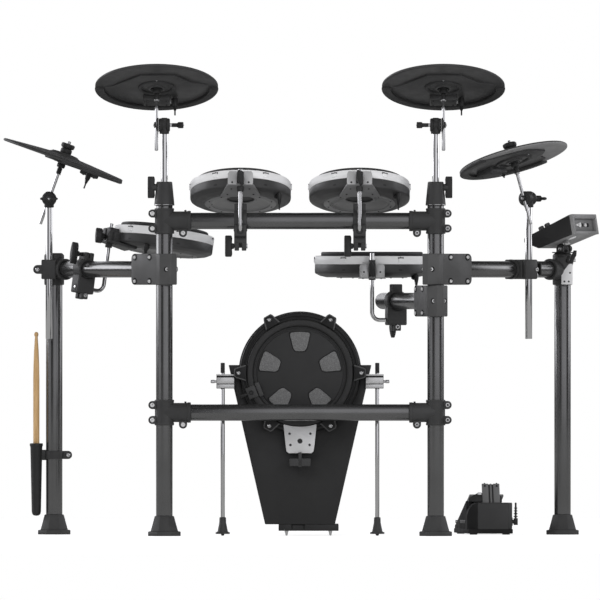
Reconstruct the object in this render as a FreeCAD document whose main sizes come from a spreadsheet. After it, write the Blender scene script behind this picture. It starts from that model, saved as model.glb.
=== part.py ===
import math
import os
import re
import types

import FreeCAD
import Part
import Sketcher

# Driving sizes in millimetres and degrees
sizes = {
    "tube_d": 38, "tube_wall": 1.6, "slip": 0.05, "post_x": 312, "post_top": 760, "floor_gap": 4,
    "upper_z": 724.5, "lower_z": 284, "arm_z": 613.6, "snare_arm_z": 540.5,
    "foot_top": 44, "foot_waist": 63, "foot_flange": 75, "foot_high": 46, "flange_high": 10,
    "tee_d": 43.6, "tee_high": 59, "tee_reach": 61, "tee_ring": 47, "ear_r": 9.4, "ear_out": 27.5,
    "ear_up": 17.2, "ear_half": 11, "ear_drop": 27.7, "ear_along": 43, "slit": 2.4, "bolt_r": 3, "head_r": 5.2,
    "head_high": 4.5, "mast_d": 16, "mast_wall": 1.4, "sleeve_high": 55, "sleeve_base": 23, "sleeve_tip": 18.3,
    "spigot_long": 35, "handle_long": 50, "handle_thick": 17, "handle_deep": 16, "stem_r": 4,
    "arm_long": 460, "clamp_long": 102, "clamp_half": 24, "clamp_back": 38, "clamp_high": 71.7, "screw_up": 27.6,
    "screw_near": 25, "screw_far": 86, "left_yaw": 124, "right_yaw": 50, "snare_yaw": 105,
    "leg_cap": 38, "leg_skirt": 36, "leg_tee_r": 23, "leg_socket": 50, "rod_block_half": 22.6,
    "hat_back": 161, "hat_out": 31, "ride_side": -11.4, "ride_front": 33,
    "crash_z": 945, "stand_z": 777, "crash_mast": 400, "stand_mast": 312, "rod_d": 8, "rod_up": 95, "rod_down": 62,
    "rod_top": 46, "rod_side": 18, "tilter_r": 17, "tilter_half": 13, "tilter_disc": 17, "tilter_gap": 0.4,
    "crash_d": 283, "ride_d": 292, "hat_d": 257, "crash_tilt": 20, "ride_tilt": 19.6, "hat_tilt": 18.5,
    "hat_turn": 53, "pad_hole": 5.5, "felt_r": 9, "felt_high": 6, "felt_gap": 0.45,
    "rail_r": 25, "rail_half": 14.5, "rod_r": 4.75, "bend_r": 18, "tom_x": 137, "tom_tilt": 15.5, "tom_drop": 30,
    "low_drop": 44, "tom_front": 31, "low_front": 57, "tom_rod": 85, "floor_rod": 82, "snare_rod": 71, "lug_drop": 60,
    "tom_d": 232, "snare_d": 265, "pad_off": 14, "shell_high": 30, "band_high": 19, "rim_high": 10,
    "floor_back": 129, "snare_back": 112, "floor_tilt": 8.5, "floor_turn": 164, "snare_turn": 75,
    "cup_top": 14.5, "cup_low": 10.8, "cup_deep": 160, "cup_off": 41.4, "cup_z": 211, "strap_high": 19,
    "stick_long": 406, "stick_r": 7.2, "kick_z": 375, "kick_y": 62, "kick_r": 138.6, "kick_deep": 100,
    "kick_ring": 122.5, "kick_panel": 108, "tower_top": 393, "tower_gap": 20, "tower_wide": 164.5,
    "tower_narrow": 80.5, "tower_thick": 36, "spur_x": 178, "spur_top": 398, "plate_high": 15, "plate_lift": 11,
    "pedal_x": 441, "pedal_y": 300, "pedal_turn": 7, "pedal_long": 262, "pedal_wide": 104, "board_rise": 17.5,
    "board_z": 28, "board_long": 185,
    "case_wide": 180, "case_turn": 18.5, "case_wall": 3, "hinge_z": 661.5, "hinge_in": 43.4,
    "hinge_up": 1.2, "pin_r": 4, "knob_r": 6.5, "knob_high": 9,
}

doc = FreeCAD.newDocument("drum_kit")
sheet = doc.addObject("Spreadsheet::Sheet", "sizes")
for row, (alias, number) in enumerate(sizes.items(), 1):
    sheet.set(f"A{row}", alias)
    sheet.set(f"B{row}", str(number))
    sheet.setAlias(f"B{row}", alias)
doc.recompute()
v = types.SimpleNamespace(**{alias: float(sheet.get(alias)) for alias in sizes})

nodes = []
turns = {"x": FreeCAD.Rotation(FreeCAD.Vector(0, 1, 0), 90), "z": FreeCAD.Rotation(),
         "y": FreeCAD.Rotation(FreeCAD.Vector(1, 0, 0), -90)}


# Small helpers
def bind(item, prop, formula):
    linked = re.sub(r"[a-z][a-z_0-9]*", lambda m: "sizes." + m[0] if m[0] in sizes else m[0], str(formula))
    item.setExpression(prop, linked)


def spot(item, where, way="z"):
    item.Placement = FreeCAD.Placement(FreeCAD.Vector(), turns[way])
    for axis, formula in zip("xyz", where):
        bind(item, f"Placement.Base.{axis}", formula)
    return item


def cylinder(name, radius, length, where, way="z"):
    item = doc.addObject("Part::Cylinder", name)
    bind(item, "Radius", radius)
    bind(item, "Height", length)
    return spot(item, where, way)


def cone(name, low, high, length, where, way="z"):
    item = doc.addObject("Part::Cone", name)
    bind(item, "Radius1", low)
    bind(item, "Radius2", high)
    bind(item, "Height", length)
    return spot(item, where, way)


def box(name, lows, highs):
    item = doc.addObject("Part::Box", name)
    for prop, low, high in zip(("Length", "Width", "Height"), lows, highs):
        bind(item, prop, f"({high}) - ({low})")
    return spot(item, lows)


def fuse(name, parts):
    item = doc.addObject("Part::MultiFuse", name)
    item.Shapes = parts
    item.Refine = True
    return item


def cut(name, base, tools):
    item = doc.addObject("Part::Cut", name)
    item.Base = base
    item.Tool = tools[0] if len(tools) == 1 else fuse(name + "_tools", tools)
    item.Refine = True
    return item


def outline(body, role, points):
    sketch = body.newObject("Sketcher::SketchObject", body.Name + "_sketch")
    plane = [feature for feature in body.Origin.OriginFeatures if feature.Role == role][0]
    sketch.AttachmentSupport = [(plane, "")]
    sketch.MapMode = "FlatFace"
    count = len(points)
    steps = [2 * math.pi * i / count for i in range(count)]
    ring = [FreeCAD.Vector(50 * math.cos(step), 50 * math.sin(step), 0) for step in steps]
    for i in range(count):
        sketch.addGeometry(Part.LineSegment(ring[i], ring[(i + 1) % count]), False)
    for i in range(count):
        sketch.addConstraint(Sketcher.Constraint("Coincident", i, 2, (i + 1) % count, 1))
    for i, (across, up) in enumerate(points):
        index = sketch.addConstraint(Sketcher.Constraint("DistanceX", -1, 1, i, 1, ring[i].x))
        bind(sketch, f"Constraints[{index}]", across)
        index = sketch.addConstraint(Sketcher.Constraint("DistanceY", -1, 1, i, 1, ring[i].y))
        bind(sketch, f"Constraints[{index}]", up)
    return sketch


def turned(name, points, sweep=360):
    body = doc.addObject("PartDesign::Body", name)
    spin = body.newObject("PartDesign::Revolution", name + "_spin")
    spin.Profile = outline(body, "XZ_Plane", points)
    spin.ReferenceAxis = (spin.Profile[0], ["V_Axis"])
    spin.Angle = sweep
    body.Tip = spin
    return body


def plate(name, points, depth):
    body = doc.addObject("PartDesign::Body", name)
    pad = body.newObject("PartDesign::Pad", name + "_pad")
    pad.Profile = outline(body, "XY_Plane", points)
    bind(pad, "Length", depth)
    body.Tip = pad
    return body


def pipe(name, diameter, wall, length, where, way="z"):
    skin = cylinder(name + "_skin", f"{diameter} / 2", length, where, way)
    hollow = cylinder(name + "_hollow", f"{diameter} / 2 - {wall}", length, where, way)
    return cut(name, skin, [hollow])


def place(x=0, y=0, z=0, turn=0, axis=(0, 0, 1)):
    return FreeCAD.Placement(FreeCAD.Vector(x, y, z), FreeCAD.Rotation(FreeCAD.Vector(*axis), turn))


def moved(item, placement):
    if any("Placement" in path for path, formula in item.ExpressionEngine):
        return bundle(item.Name + "_set", [item], placement)
    item.Placement = placement.multiply(item.Placement)
    return item


def bundle(name, parts, placement=None):
    item = doc.addObject("Part::Compound", name)
    item.Links = parts
    if placement:
        item.Placement = placement
    return item


def node(label, parts, placement=None):
    item = bundle("node_" + label, parts, placement)
    item.Label = label
    nodes.append(item)
    return item


def bolt(name, half, where, way="y"):
    along = "xyz".index(way)
    low = [f"{part}" for part in where]
    head = list(low)
    tail = list(low)
    low[along] = f"({where[along]}) - {half}"
    head[along] = f"({where[along]}) - {half} - head_high"
    tail[along] = f"({where[along]}) + {half}"
    shank = cylinder(name + "_shank", "bolt_r", f"2 * {half}", low, way)
    cap = cylinder(name + "_cap", "head_r", "head_high", head, way)
    nut = cylinder(name + "_nut", "head_r", "head_high", tail, way)
    return fuse(name, [cap, shank, nut])


# T handle with its stem along +x and its bar along z
def handle(name, stem):
    edge = "handle_thick / 2"
    tip = "handle_long / 2"
    bar = plate(name + "_bar", [
        (f"-{edge}", f"{tip} - 8"), (f"-{edge}", f"8 - {tip}"), (f"2 - {edge}", f"-{tip}"),
        (f"{edge} - 2", f"-{tip}"), (edge, f"8 - {tip}"), (f"{edge} - 1.5", 0), (edge, f"{tip} - 8"),
        (f"{edge} - 2", tip), (f"2 - {edge}", tip)], "handle_deep")
    bar.Placement = place(0, v.handle_deep / 2, 0, 90, (1, 0, 0))
    shaft = cylinder(name + "_shaft", "stem_r", stem, (0, 0, 0), "x")
    collar = cone(name + "_collar", 7.5, 6, 5, ("handle_thick / 2 - 2", 0, 0), "x")
    return fuse(name, [bar, collar, shaft])


# Wing knob with its stem along +x and its wings along y
def wing_knob(name, stem):
    hub = cylinder(name + "_hub", 7, 14, (0, 0, 0), "x")
    wings = box(name + "_wings", (0.5, -21, -4), (9.5, 21, 4))
    shaft = cylinder(name + "_shaft", "stem_r", stem, (0, 0, 0), "x")
    return fuse(name, [hub, wings, shaft])


# Foot with an octagonal flare, the tube standing on its floor
def foot(name, x, y):
    rings = []
    for i, (across, height) in enumerate((("foot_waist", "flange_high"), ("foot_top", "foot_high"))):
        ring = doc.addObject("Part::RegularPolygon", f"{name}_ring{i}")
        ring.Polygon = 8
        bind(ring, "Circumradius", f"{across} / 2 / cos(22.5)")
        ring.Placement = place(turn=22.5)
        bind(ring, "Placement.Base.z", height)
        rings.append(ring)
    flare = doc.addObject("Part::Loft", name + "_flare")
    flare.Sections = rings
    flare.Solid = True
    flare.Ruled = True
    flange = doc.addObject("Part::Prism", name + "_flange")
    flange.Polygon = 8
    bind(flange, "Circumradius", "foot_flange / 2 / cos(22.5)")
    bind(flange, "Height", "flange_high")
    flange.Placement = place(turn=22.5)
    socket = cylinder(name + "_socket", "tube_d / 2 + slip", "foot_high", (0, 0, "floor_gap"))
    item = cut(name, fuse(name + "_block", [flare, flange]), [socket])
    return moved(item, place(x, y))


# Tee casting round a post, its socket along +x
def tee(name, placement):
    parts = [
        cylinder(name + "_collar", "tee_d / 2", "tee_high", (0, 0, "-tee_high / 2")),
        cylinder(name + "_socket", "tee_d / 2 + 0.4", "tee_reach", (0, 0, 0), "x"),
        cylinder(name + "_ring", "tee_ring / 2", 8, ("tee_reach - 8", 0, 0), "x"),
        box(name + "_nub", ("tee_reach - 15", -3, 15), ("tee_reach - 10", 3, "tee_ring / 2 + 2")),
    ]
    holes = [
        cylinder(name + "_post_bore", "tube_d / 2 + slip", "2 * tee_high", (0, 0, "-tee_high")),
        cylinder(name + "_bar_bore", "tube_d / 2 + slip", "2 * tee_reach", (0, 0, 0), "x"),
        box(name + "_post_slit", ("-2 * ear_out", "-slit / 2", "-tee_high"), (0, "slit / 2", "tee_high")),
        box(name + "_bar_slit", ("ear_along - ear_r - 2", "-slit / 2", "-2 * ear_drop"),
            ("2 * tee_reach", "slit / 2", 0)),
    ]
    ears = [("-ear_out", "ear_up"), ("-ear_out", "-ear_up"), ("ear_along", "-ear_drop")]
    for i, (along, up) in enumerate(ears):
        parts.append(cylinder(f"{name}_ear{i}", "ear_r", "2 * ear_half", (along, "-ear_half", up), "y"))
        holes.append(cylinder(f"{name}_hole{i}", "bolt_r + slip", "4 * ear_half", (along, "-2 * ear_half", up), "y"))
    for i, up in enumerate(("ear_up", "-ear_up")):
        web = box(f"{name}_web{i}", ("-ear_out", "-ear_half", f"{up} - ear_r"), (-12, "ear_half", f"{up} + ear_r"))
        parts.append(web)
    web = box(name + "_web2", ("ear_along - ear_r", "-ear_half", "-ear_drop"), ("ear_along + ear_r", "ear_half", -12))
    parts.append(web)
    casting = moved(cut(name, fuse(name + "_block", parts), holes), placement)
    bolts = []
    for i, (along, up) in enumerate(ears):
        bolts.append(moved(bolt(f"{name}_bolt{i}", "ear_half", (along, 0, up)), placement))
    return casting, bolts


# Front frame
posts = []
feet = []
castings = []
fasteners = []
for side, sign in (("left", -1), ("right", 1)):
    where = (f"{sign} * post_x", 0, "floor_gap")
    posts.append(pipe(f"post_{side}", "tube_d", "tube_wall", "post_top - floor_gap", where))
    feet.append(foot(f"front_foot_{side}", sign * v.post_x, 0))
    for level, height in (("upper", v.upper_z), ("lower", v.lower_z)):
        casting, bolts = tee(f"tee_{level}_{side}", place(sign * v.post_x, 0, height, 0 if sign < 0 else 180))
        castings.append(casting)
        fasteners += bolts
bars = []
for level in ("upper", "lower"):
    end = "(post_x - tube_d / 2 - 1)"
    where = (f"-{end}", 0, f"{level}_z")
    bars.append(pipe(f"bar_{level}", "tube_d", "tube_wall", f"2 * {end}", where, "x"))
node("front_posts", posts)
node("front_feet", feet)
node("crossbars", bars)
node("tee_clamps", castings)
node("tee_clamp_bolts", fasteners)

# Tapered sleeves that hold the crash masts in the post tops
sleeves = []
for side, sign in (("left", -1), ("right", 1)):
    name = f"sleeve_{side}"
    blank = turned(name + "_blank", [
        ("mast_d / 2 + slip", "-spigot_long"), ("tube_d / 2 - tube_wall - slip", "-spigot_long"),
        ("tube_d / 2 - tube_wall - slip", 0), ("sleeve_base", 0), ("sleeve_base", 4),
        ("sleeve_tip", "sleeve_high - 1.5"), ("sleeve_tip - 1.5", "sleeve_high"),
        ("mast_d / 2 + slip", "sleeve_high")])
    drill = cylinder(name + "_drill", "stem_r + slip", 30, (-30, 0, "sleeve_high - 13"), "x")
    seat = place(sign * v.post_x, 0, v.post_top, 0 if sign < 0 else 180)
    sleeves.append(moved(cut(name, blank, [drill]), seat))
    grip = handle(f"sleeve_handle_{side}", "30 - mast_d / 2 - 0.3")
    grip.Placement = seat.multiply(place(-30, 0, v.sleeve_high - 13))
    sleeves.append(grip)
node("mast_sleeves", sleeves)


# Side arms: clamp casting round the post, tube along +x
def arm_frame(sign, yaw, height):
    return place(sign * v.post_x, 0, height, yaw)


def arm_clamp(label, frame):
    blank = plate(label + "_blank", [
        ("clamp_long", "3 - clamp_half"), ("clamp_long", "clamp_half - 3"), ("clamp_long - 3", "clamp_half"),
        (-16, "clamp_half"), ("-clamp_back", 8), ("-clamp_back", -8), (-16, "-clamp_half"),
        ("clamp_long - 3", "-clamp_half")], "clamp_high")
    bind(blank, "Placement.Base.z", "-clamp_high / 2")
    holes = [
        cylinder(label + "_post_bore", "tube_d / 2 + slip", "2 * clamp_high", (0, 0, "-clamp_high")),
        cylinder(label + "_arm_bore", "tube_d / 2 + slip", "2 * clamp_long", ("tube_d / 2", 0, 0), "x"),
    ]
    screws = []
    for i, along in enumerate(("screw_near", "screw_far")):
        for j, up in enumerate(("screw_up", "-screw_up")):
            start = (along, "-2 * clamp_half", up)
            holes.append(cylinder(f"{label}_hole{i}{j}", "bolt_r + slip", "4 * clamp_half", start, "y"))
            screws.append(bolt(f"{label}_screw{i}{j}", "clamp_half", (along, 0, up)))
    for i, turn in enumerate((157, -157)):
        hole = cylinder(f"{label}_set_hole{i}", "bolt_r + slip", 40, ("tube_d / 2", 0, 0), "x")
        holes.append(moved(hole, place(turn=turn)))
        screw = cylinder(f"{label}_set{i}", "bolt_r", 14, ("tube_d / 2 + 0.2", 0, 0), "x")
        screws.append(moved(screw, place(turn=turn)))
    casting = cut(label + "_casting", blank, holes)
    node(label, [casting] + screws, frame)


left_frame = arm_frame(-1, v.left_yaw, v.arm_z)
right_frame = arm_frame(1, v.right_yaw, v.arm_z)
snare_frame = arm_frame(1, v.snare_yaw, v.snare_arm_z)
arm_clamp("left_arm_clamp", left_frame)
arm_clamp("right_arm_clamp", right_frame)
arm_clamp("snare_arm_clamp", snare_frame)
short = "arm_long - tube_d - 2"
for side, frame in (("left", left_frame), ("right", right_frame)):
    arm = moved(pipe(f"{side}_arm", "tube_d", "tube_wall", short, ("tube_d / 2 + 1", 0, 0), "x"), frame)
    foot_at = frame.multVec(FreeCAD.Vector(v.arm_long, 0, 0))
    leg = pipe(f"{side}_leg", "tube_d", "tube_wall", "arm_z + leg_cap - 8 - floor_gap", (0, 0, "floor_gap"))
    node(f"{side}_arm_tubes", [arm, moved(leg, place(foot_at.x, foot_at.y))])
    node(f"{side}_leg_foot", [foot(f"{side}_foot", foot_at.x, foot_at.y)])
snare_tube = pipe("snare_tube", "tube_d", "tube_wall", "arm_long - tube_d / 2 - 1", ("tube_d / 2 + 1", 0, 0), "x")
plug = turned("snare_tube_cap", [
    (0, -12), ("tube_d / 2 - tube_wall - slip", -12), ("tube_d / 2 - tube_wall - slip", 0), ("tube_d / 2", 0),
    ("tube_d / 2", 2), ("tube_d / 2 - 5", 8), (0, 11)])
plug.Placement = place(v.arm_long, 0, 0, 90, (0, 1, 0))
node("snare_arm_tube", [snare_tube, plug], snare_frame)


# Leg tee with a capped collar and a socket towards the post
def leg_tee(name, yaw):
    collar = turned(name + "_collar", [
        (0, "-leg_skirt"), ("leg_tee_r", "-leg_skirt"), ("leg_tee_r", "leg_cap - 5"), ("leg_tee_r - 5", "leg_cap"),
        (0, "leg_cap")])
    socket = cylinder(name + "_socket", "leg_tee_r + 0.6", "leg_socket", (0, 0, 0), "x")
    lip = cylinder(name + "_lip", "leg_tee_r + 1.6", 8, ("leg_socket - 8", 0, 0), "x")
    bore = cylinder(name + "_arm_bore", "tube_d / 2 + slip", "leg_socket", ("tube_d / 2", 0, 0), "x")
    socket, lip, bore = [moved(item, place(turn=yaw)) for item in (socket, lip, bore)]
    shaft = cylinder(name + "_leg_bore", "tube_d / 2 + slip", "leg_skirt + leg_cap - 8", (0, 0, "-leg_skirt"))
    return [collar, socket, lip], [bore, shaft]


left_leg = left_frame.multVec(FreeCAD.Vector(v.arm_long, 0, 0))
right_leg = right_frame.multVec(FreeCAD.Vector(v.arm_long, 0, 0))
solid, holes = leg_tee("left_tee", v.left_yaw + 180)
solid.append(box("ride_block", ("ride_side - 18", "-ride_front - 12", "-rod_block_half"),
                 ("ride_side + 16", -8, "rod_block_half")))
solid.append(cylinder("ride_ear", 10.4, 22, ("ride_side - 26.6", "-ride_front - 11", 0), "y"))
ride_low = ("ride_side", "-ride_front", "-2 * rod_block_half")
holes.append(cylinder("ride_bore", "mast_d / 2 + slip", "4 * rod_block_half", ride_low))
holes.append(box("ride_slit", ("ride_side - 60", "-ride_front - slit / 2", -50),
                 ("ride_side", "slit / 2 - ride_front", 50)))
holes.append(cylinder("ride_ear_hole", "bolt_r + slip", 60, ("ride_side - 26.6", "-ride_front - 30", 0), "y"))
ride_casting = cut("left_leg_casting", fuse("left_leg_block", solid), holes)
ride_bolt = bolt("ride_ear_bolt", 11, ("ride_side - 26.6", "-ride_front", 0))
node("left_leg_tee", [ride_casting, ride_bolt], place(left_leg.x, left_leg.y, v.arm_z))
solid, holes = leg_tee("right_tee", v.right_yaw + 180)
node("right_leg_tee", [cut("right_leg_casting", fuse("right_leg_block", solid), holes)],
     place(right_leg.x, right_leg.y, v.arm_z))

# Block on the right arm that holds the second cymbal mast
reach = "(arm_long - hat_back)"
hat_block = box("hat_block", (f"{reach} - 23", "-hat_out - 11.5", "-rod_block_half"),
                (f"{reach} + 20", 23, "rod_block_half"))
hat_low = (reach, "-hat_out", "-2 * rod_block_half")
hat_holes = [
    cylinder("hat_arm_bore", "tube_d / 2 + slip", 200, (f"{reach} - 100", 0, 0), "x"),
    cylinder("hat_rod_bore", "mast_d / 2 + slip", "4 * rod_block_half", hat_low),
    box("hat_slit", (reach, "-hat_out - slit / 2", -50), (f"{reach} + 60", "slit / 2 - hat_out", 50)),
    cylinder("hat_ear_hole", "bolt_r + slip", 60, (f"{reach} + 14", "-hat_out - 30", 0), "y"),
]
hat_cheek = cut("hat_casting", hat_block, hat_holes)
hat_pin = cylinder("hat_pin", "bolt_r", 24, (f"{reach} + 14", "-hat_out - 13", 0), "y")
node("hihat_rod_clamp", [hat_cheek, hat_pin], right_frame)

# Stick cup strapped to the left leg
cup_wall = turned("cup_wall", [
    (0, "-cup_deep - 8"), (6, "-cup_deep - 7"), ("cup_low", "-cup_deep"), ("cup_top", 0), ("cup_top - 2", 0),
    ("cup_low - 2", "-cup_deep + 11.7"), (0, "-cup_deep + 11.7")])
cup_wall.Placement = place(-v.cup_off, 0, 0)
strap_z = "-27"
ring = cylinder("strap_ring", "tube_d / 2 + 3.4", "strap_high", (0, 0, f"{strap_z} - strap_high / 2"))
tongue = box("strap_tongue", (10, -7, f"{strap_z} - strap_high / 2"), (32, 7, f"{strap_z} + strap_high / 2"))
tongue_end = cylinder("strap_tongue_end", "strap_high / 2", 14, (32, -7, strap_z), "y")
bridge = box("strap_bridge", ("-cup_off + 10", -6, f"{strap_z} - 12"), (-15, 6, f"{strap_z} + 12"))
strap_holes = [
    cylinder("strap_bore", "tube_d / 2 + slip", 60, (0, 0, f"{strap_z} - 30")),
    box("strap_slit", (10, "-slit / 2", -60), (60, "slit / 2", 10)),
    cylinder("strap_hole", "bolt_r + slip", 40, (32, -20, strap_z), "y"),
    cone("strap_cup_seat", "cup_low", "cup_top", "cup_deep", ("-cup_off", 0, "-cup_deep")),
]
strap = cut("strap", fuse("strap_block", [ring, tongue, tongue_end, bridge]), strap_holes)
strap_bolt = bolt("strap_bolt", 7, (32, 0, strap_z))
node("stick_holder", [cup_wall, strap, strap_bolt], place(left_leg.x, left_leg.y, v.cup_z))
stick = turned("stick", [
    (0, 0), ("stick_r - 2", 0), ("stick_r", 3), ("stick_r", "stick_long - 110"), (3.6, "stick_long - 16"),
    (3.2, "stick_long - 12"), (5, "stick_long - 7"), (4, "stick_long - 1.5"), (0, "stick_long")])
node("drumstick", [stick], place(left_leg.x - v.cup_off, left_leg.y, v.cup_z - v.cup_deep + 12))


# Cymbal stands: mast, tilting rod and pad, the tilter's axis along local x
def cymbal_pad(name, wide, azimuth):
    edge = f"{wide} / 2"
    shell = turned(name + "_shell", [
        ("pad_hole", -4), (20, -4), (22, 2), (34, 2), (36, -2), (40, -2), (42, 3.4), (60, 3.5),
        (f"{edge} - 20", -1), (f"{edge} - 4", -3), (edge, -1.5), (edge, 0.5), (f"{edge} - 20", 3), (60, 7.5), (34, 9), (28, 13), ("pad_hole", 13)])
    skin = turned(name + "_skin", [
        ("pad_hole", 13), (28, 13), (34, 9), (60, 7.5), (f"{edge} - 20", 3), (edge, 0.5), (edge, 2),
        (f"{edge} - 2", 3.4), (f"{edge} - 20", 6), (60, 10.5), (36, 12), (30, 16), ("pad_hole", 16)])
    rim = turned(name + "_rim", [
        (f"{edge} - 20", -1), (f"{edge} - 4", -3), (edge, -1.5), (f"{edge} + 1", -5.5), (f"{edge} - 4", -8),
        (f"{edge} - 20", -7)], 180)
    case = box(name + "_jack_box", (-31, 46, -15), (31, 90, 4.5))
    flats = cut(name + "_jack_case", case, [turned(name + "_jack_room", [
        (0, -4), (20, -4), (22, 2), (34, 2), (36, -2), (40, -2), (42, 3.4), (60, 3.5), (f"{edge} - 20", -1),
        (f"{edge} - 20", 60), (0, 60)])])
    boot = turned(name + "_boot", [
        (0, -42), (1.8, -42), (1.8, -29), (3.4, -29), (3.4, -27), (2.4, -27), (2.4, -25), (4, -25), (4, -22.5),
        (2.8, -22.5), (2.8, -20), (6.5, -20), (6.5, 0), (0, 0)])
    boot.Placement = place(42, 68, -3.5)
    tongue = cylinder(name + "_jack_tip", 3.2, 9, (31, 68, -10), "x")
    plug_body = fuse(name + "_plug", [boot, tongue])
    parts = [shell, skin, rim, flats, plug_body]
    return bundle(name, parts, place(turn=azimuth))


def cymbal(label, wide, mast_at, mast_long, turn, tilt, azimuth):
    base = place(mast_at.x, mast_at.y, mast_at.z, turn)
    name = label + "_mast"
    tube = pipe(name + "_tube", "mast_d", "mast_wall", mast_long, (0, 0, f"-12 - {mast_long}"))
    head = fuse(name + "_head", [
        cylinder(name + "_barrel", "tilter_r", "2 * tilter_half", ("-tilter_half", 0, 0), "x"),
        cylinder(name + "_socket", "mast_d / 2 + 3", 20, (0, 0, -20)),
    ])
    head_holes = [
        cylinder(name + "_seat", "mast_d / 2 + slip", 20, (0, 0, -32)),
        cylinder(name + "_stem_hole", "stem_r + slip", 60, (-30, 0, 0), "x"),
    ]
    grip = wing_knob(name + "_knob", 50)
    grip.Placement = place(44, 0, 0, 180)
    node(name, [tube, cut(name + "_tilter", head, head_holes), grip], base)
    tilted = base.multiply(place(0, 0, 0, tilt, (1, 0, 0)))
    name = label + "_rod"
    rod = cylinder(name + "_bar", "rod_d / 2", "rod_up + rod_down + rod_top", ("-rod_side", 0, "-rod_down"))
    disc = cylinder(name + "_disc", "tilter_disc", 11, ("-tilter_half - tilter_gap - 11", 0, 0), "x")
    disc_hole = cylinder(name + "_disc_hole", "rod_d / 2 + slip", 60, ("-rod_side", 0, -30))
    stem_room = cylinder(name + "_stem_room", "stem_r + 0.4", 3, ("-tilter_half - 2", 0, 0), "x")
    low = "rod_up - 4 - felt_gap"
    high = "rod_up + 16.6 + felt_gap"
    seat = turned(name + "_seat", [
        ("rod_d / 2 + slip", f"{low} - felt_high - 8"), (6, f"{low} - felt_high - 8"),
        (10, f"{low} - felt_high"), ("felt_r", f"{low} - felt_high"), ("felt_r", f"{low} - 0.8"), (5, low),
        ("rod_d / 2 + slip", low)])
    wing = fuse(name + "_wing", [
        cylinder(name + "_wing_hub", "felt_r", "felt_high", ("-rod_side", 0, high)),
        cylinder(name + "_wing_nut", 16, 17, ("-rod_side", 0, f"{high} + felt_high")),
    ])
    wing_hole = cylinder(name + "_wing_hole", "rod_d / 2 + slip", 60, ("-rod_side", 0, "rod_up"))
    moved(seat, place(-v.rod_side, 0, 0))
    clamp = cut(name + "_clamp", disc, [disc_hole, stem_room])
    node(name, [rod, clamp, seat, cut(name + "_nut", wing, [wing_hole])], tilted)
    pad = cymbal_pad(label + "_body", wide, azimuth)
    node(label + "_pad", [pad], tilted.multiply(place(-v.rod_side, 0, v.rod_up)))


hat_at = right_frame.multVec(FreeCAD.Vector(v.arm_long - v.hat_back, -v.hat_out, 0))
cymbal("crash_left", "crash_d", FreeCAD.Vector(-v.post_x, 0, v.crash_z), "crash_mast", 0, -v.crash_tilt, 0)
cymbal("crash_right", "crash_d", FreeCAD.Vector(v.post_x, 0, v.crash_z), "crash_mast", 180, v.crash_tilt, 180)
cymbal("ride", "ride_d", FreeCAD.Vector(left_leg.x + v.ride_side, left_leg.y - v.ride_front, v.stand_z), "stand_mast",
       -90, -v.ride_tilt, 0)
cymbal("hihat", "hat_d", FreeCAD.Vector(hat_at.x, hat_at.y, v.stand_z), "stand_mast", v.hat_turn, -v.hat_tilt, 0)


# Drum pads: rail clamp with its bent rod, then the shell and the head
def rail_mount(label, drop, front, rise, side, frame):
    name = label
    split = (1.5, 20) if side else (20, 1.5)
    low = "(lug_drop + 9)"
    parts = [
        cylinder(name + "_ring", "rail_r", "2 * rail_half", ("-rail_half", 0, 0), "x"),
        box(name + "_crown", ("-rail_half", -12, 12), ("rail_half", 12, 39)),
        box(name + "_block", ("-rail_half", -23, f"-{drop} - 12"), ("rail_half", 23, -10)),
        box(name + "_lug", ("-rail_half + 5", -9, f"-{low}"), ("rail_half - 5", 9, f"-{drop}")),
    ]
    holes = [
        cylinder(name + "_rail_bore", "tube_d / 2 + slip", 80, (-40, 0, 0), "x"),
        cylinder(name + "_rod_bore", "rod_r + slip", 80, (0, -40, f"-{drop}"), "y"),
        box(name + "_crown_slit", (-split[0], -split[1], 26), (*split, 50)),
        box(name + "_lug_slit", (-1.2, -20, f"-{low} - 5"), (1.2, 20, f"-{drop}")),
        cylinder(name + "_lug_hole", f"{'stem_r' if side else 'bolt_r'} + slip", 60, (-30, 0, "-lug_drop"), "x"),
    ]
    if side:
        grip = [handle(name + "_handle", "27 + rail_half - 6")]
        grip[0].Placement = place(27 * side, 0, -v.lug_drop, 0 if side < 0 else 180)
    else:
        holes.append(cylinder(name + "_crown_hole", "stem_r + slip", 60, (0, -30, 33), "y"))
        grip = [handle(name + "_handle", 45), bolt(name + "_lug_bolt", "(rail_half - 5)", (0, 0, "-lug_drop"), "x")]
        grip[0].Placement = place(0, 35, 33, -90)
    casting = cut(name + "_casting", fuse(name + "_body", parts), holes)
    leg = cylinder(name + "_leg", "rod_r", f"{front} - bend_r + 23", (0, f"bend_r - {front}", f"-{drop}"), "y")
    riser = cylinder(name + "_riser", "rod_r", f"{drop} - bend_r + {rise}", (0, f"-{front}", f"bend_r - {drop}"))
    bend = doc.addObject("Part::Torus", name + "_bend")
    bind(bend, "Radius1", "bend_r")
    bind(bend, "Radius2", "rod_r")
    bend.Angle3 = 90
    bend.Placement = FreeCAD.Placement(FreeCAD.Vector(), FreeCAD.Rotation(0, 90, 180))
    bind(bend, "Placement.Base.y", f"bend_r - {front}")
    bind(bend, "Placement.Base.z", f"bend_r - {drop}")
    rod = fuse(name + "_rod", [leg, bend, riser])
    node(label, [casting, rod] + grip, frame)


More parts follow.
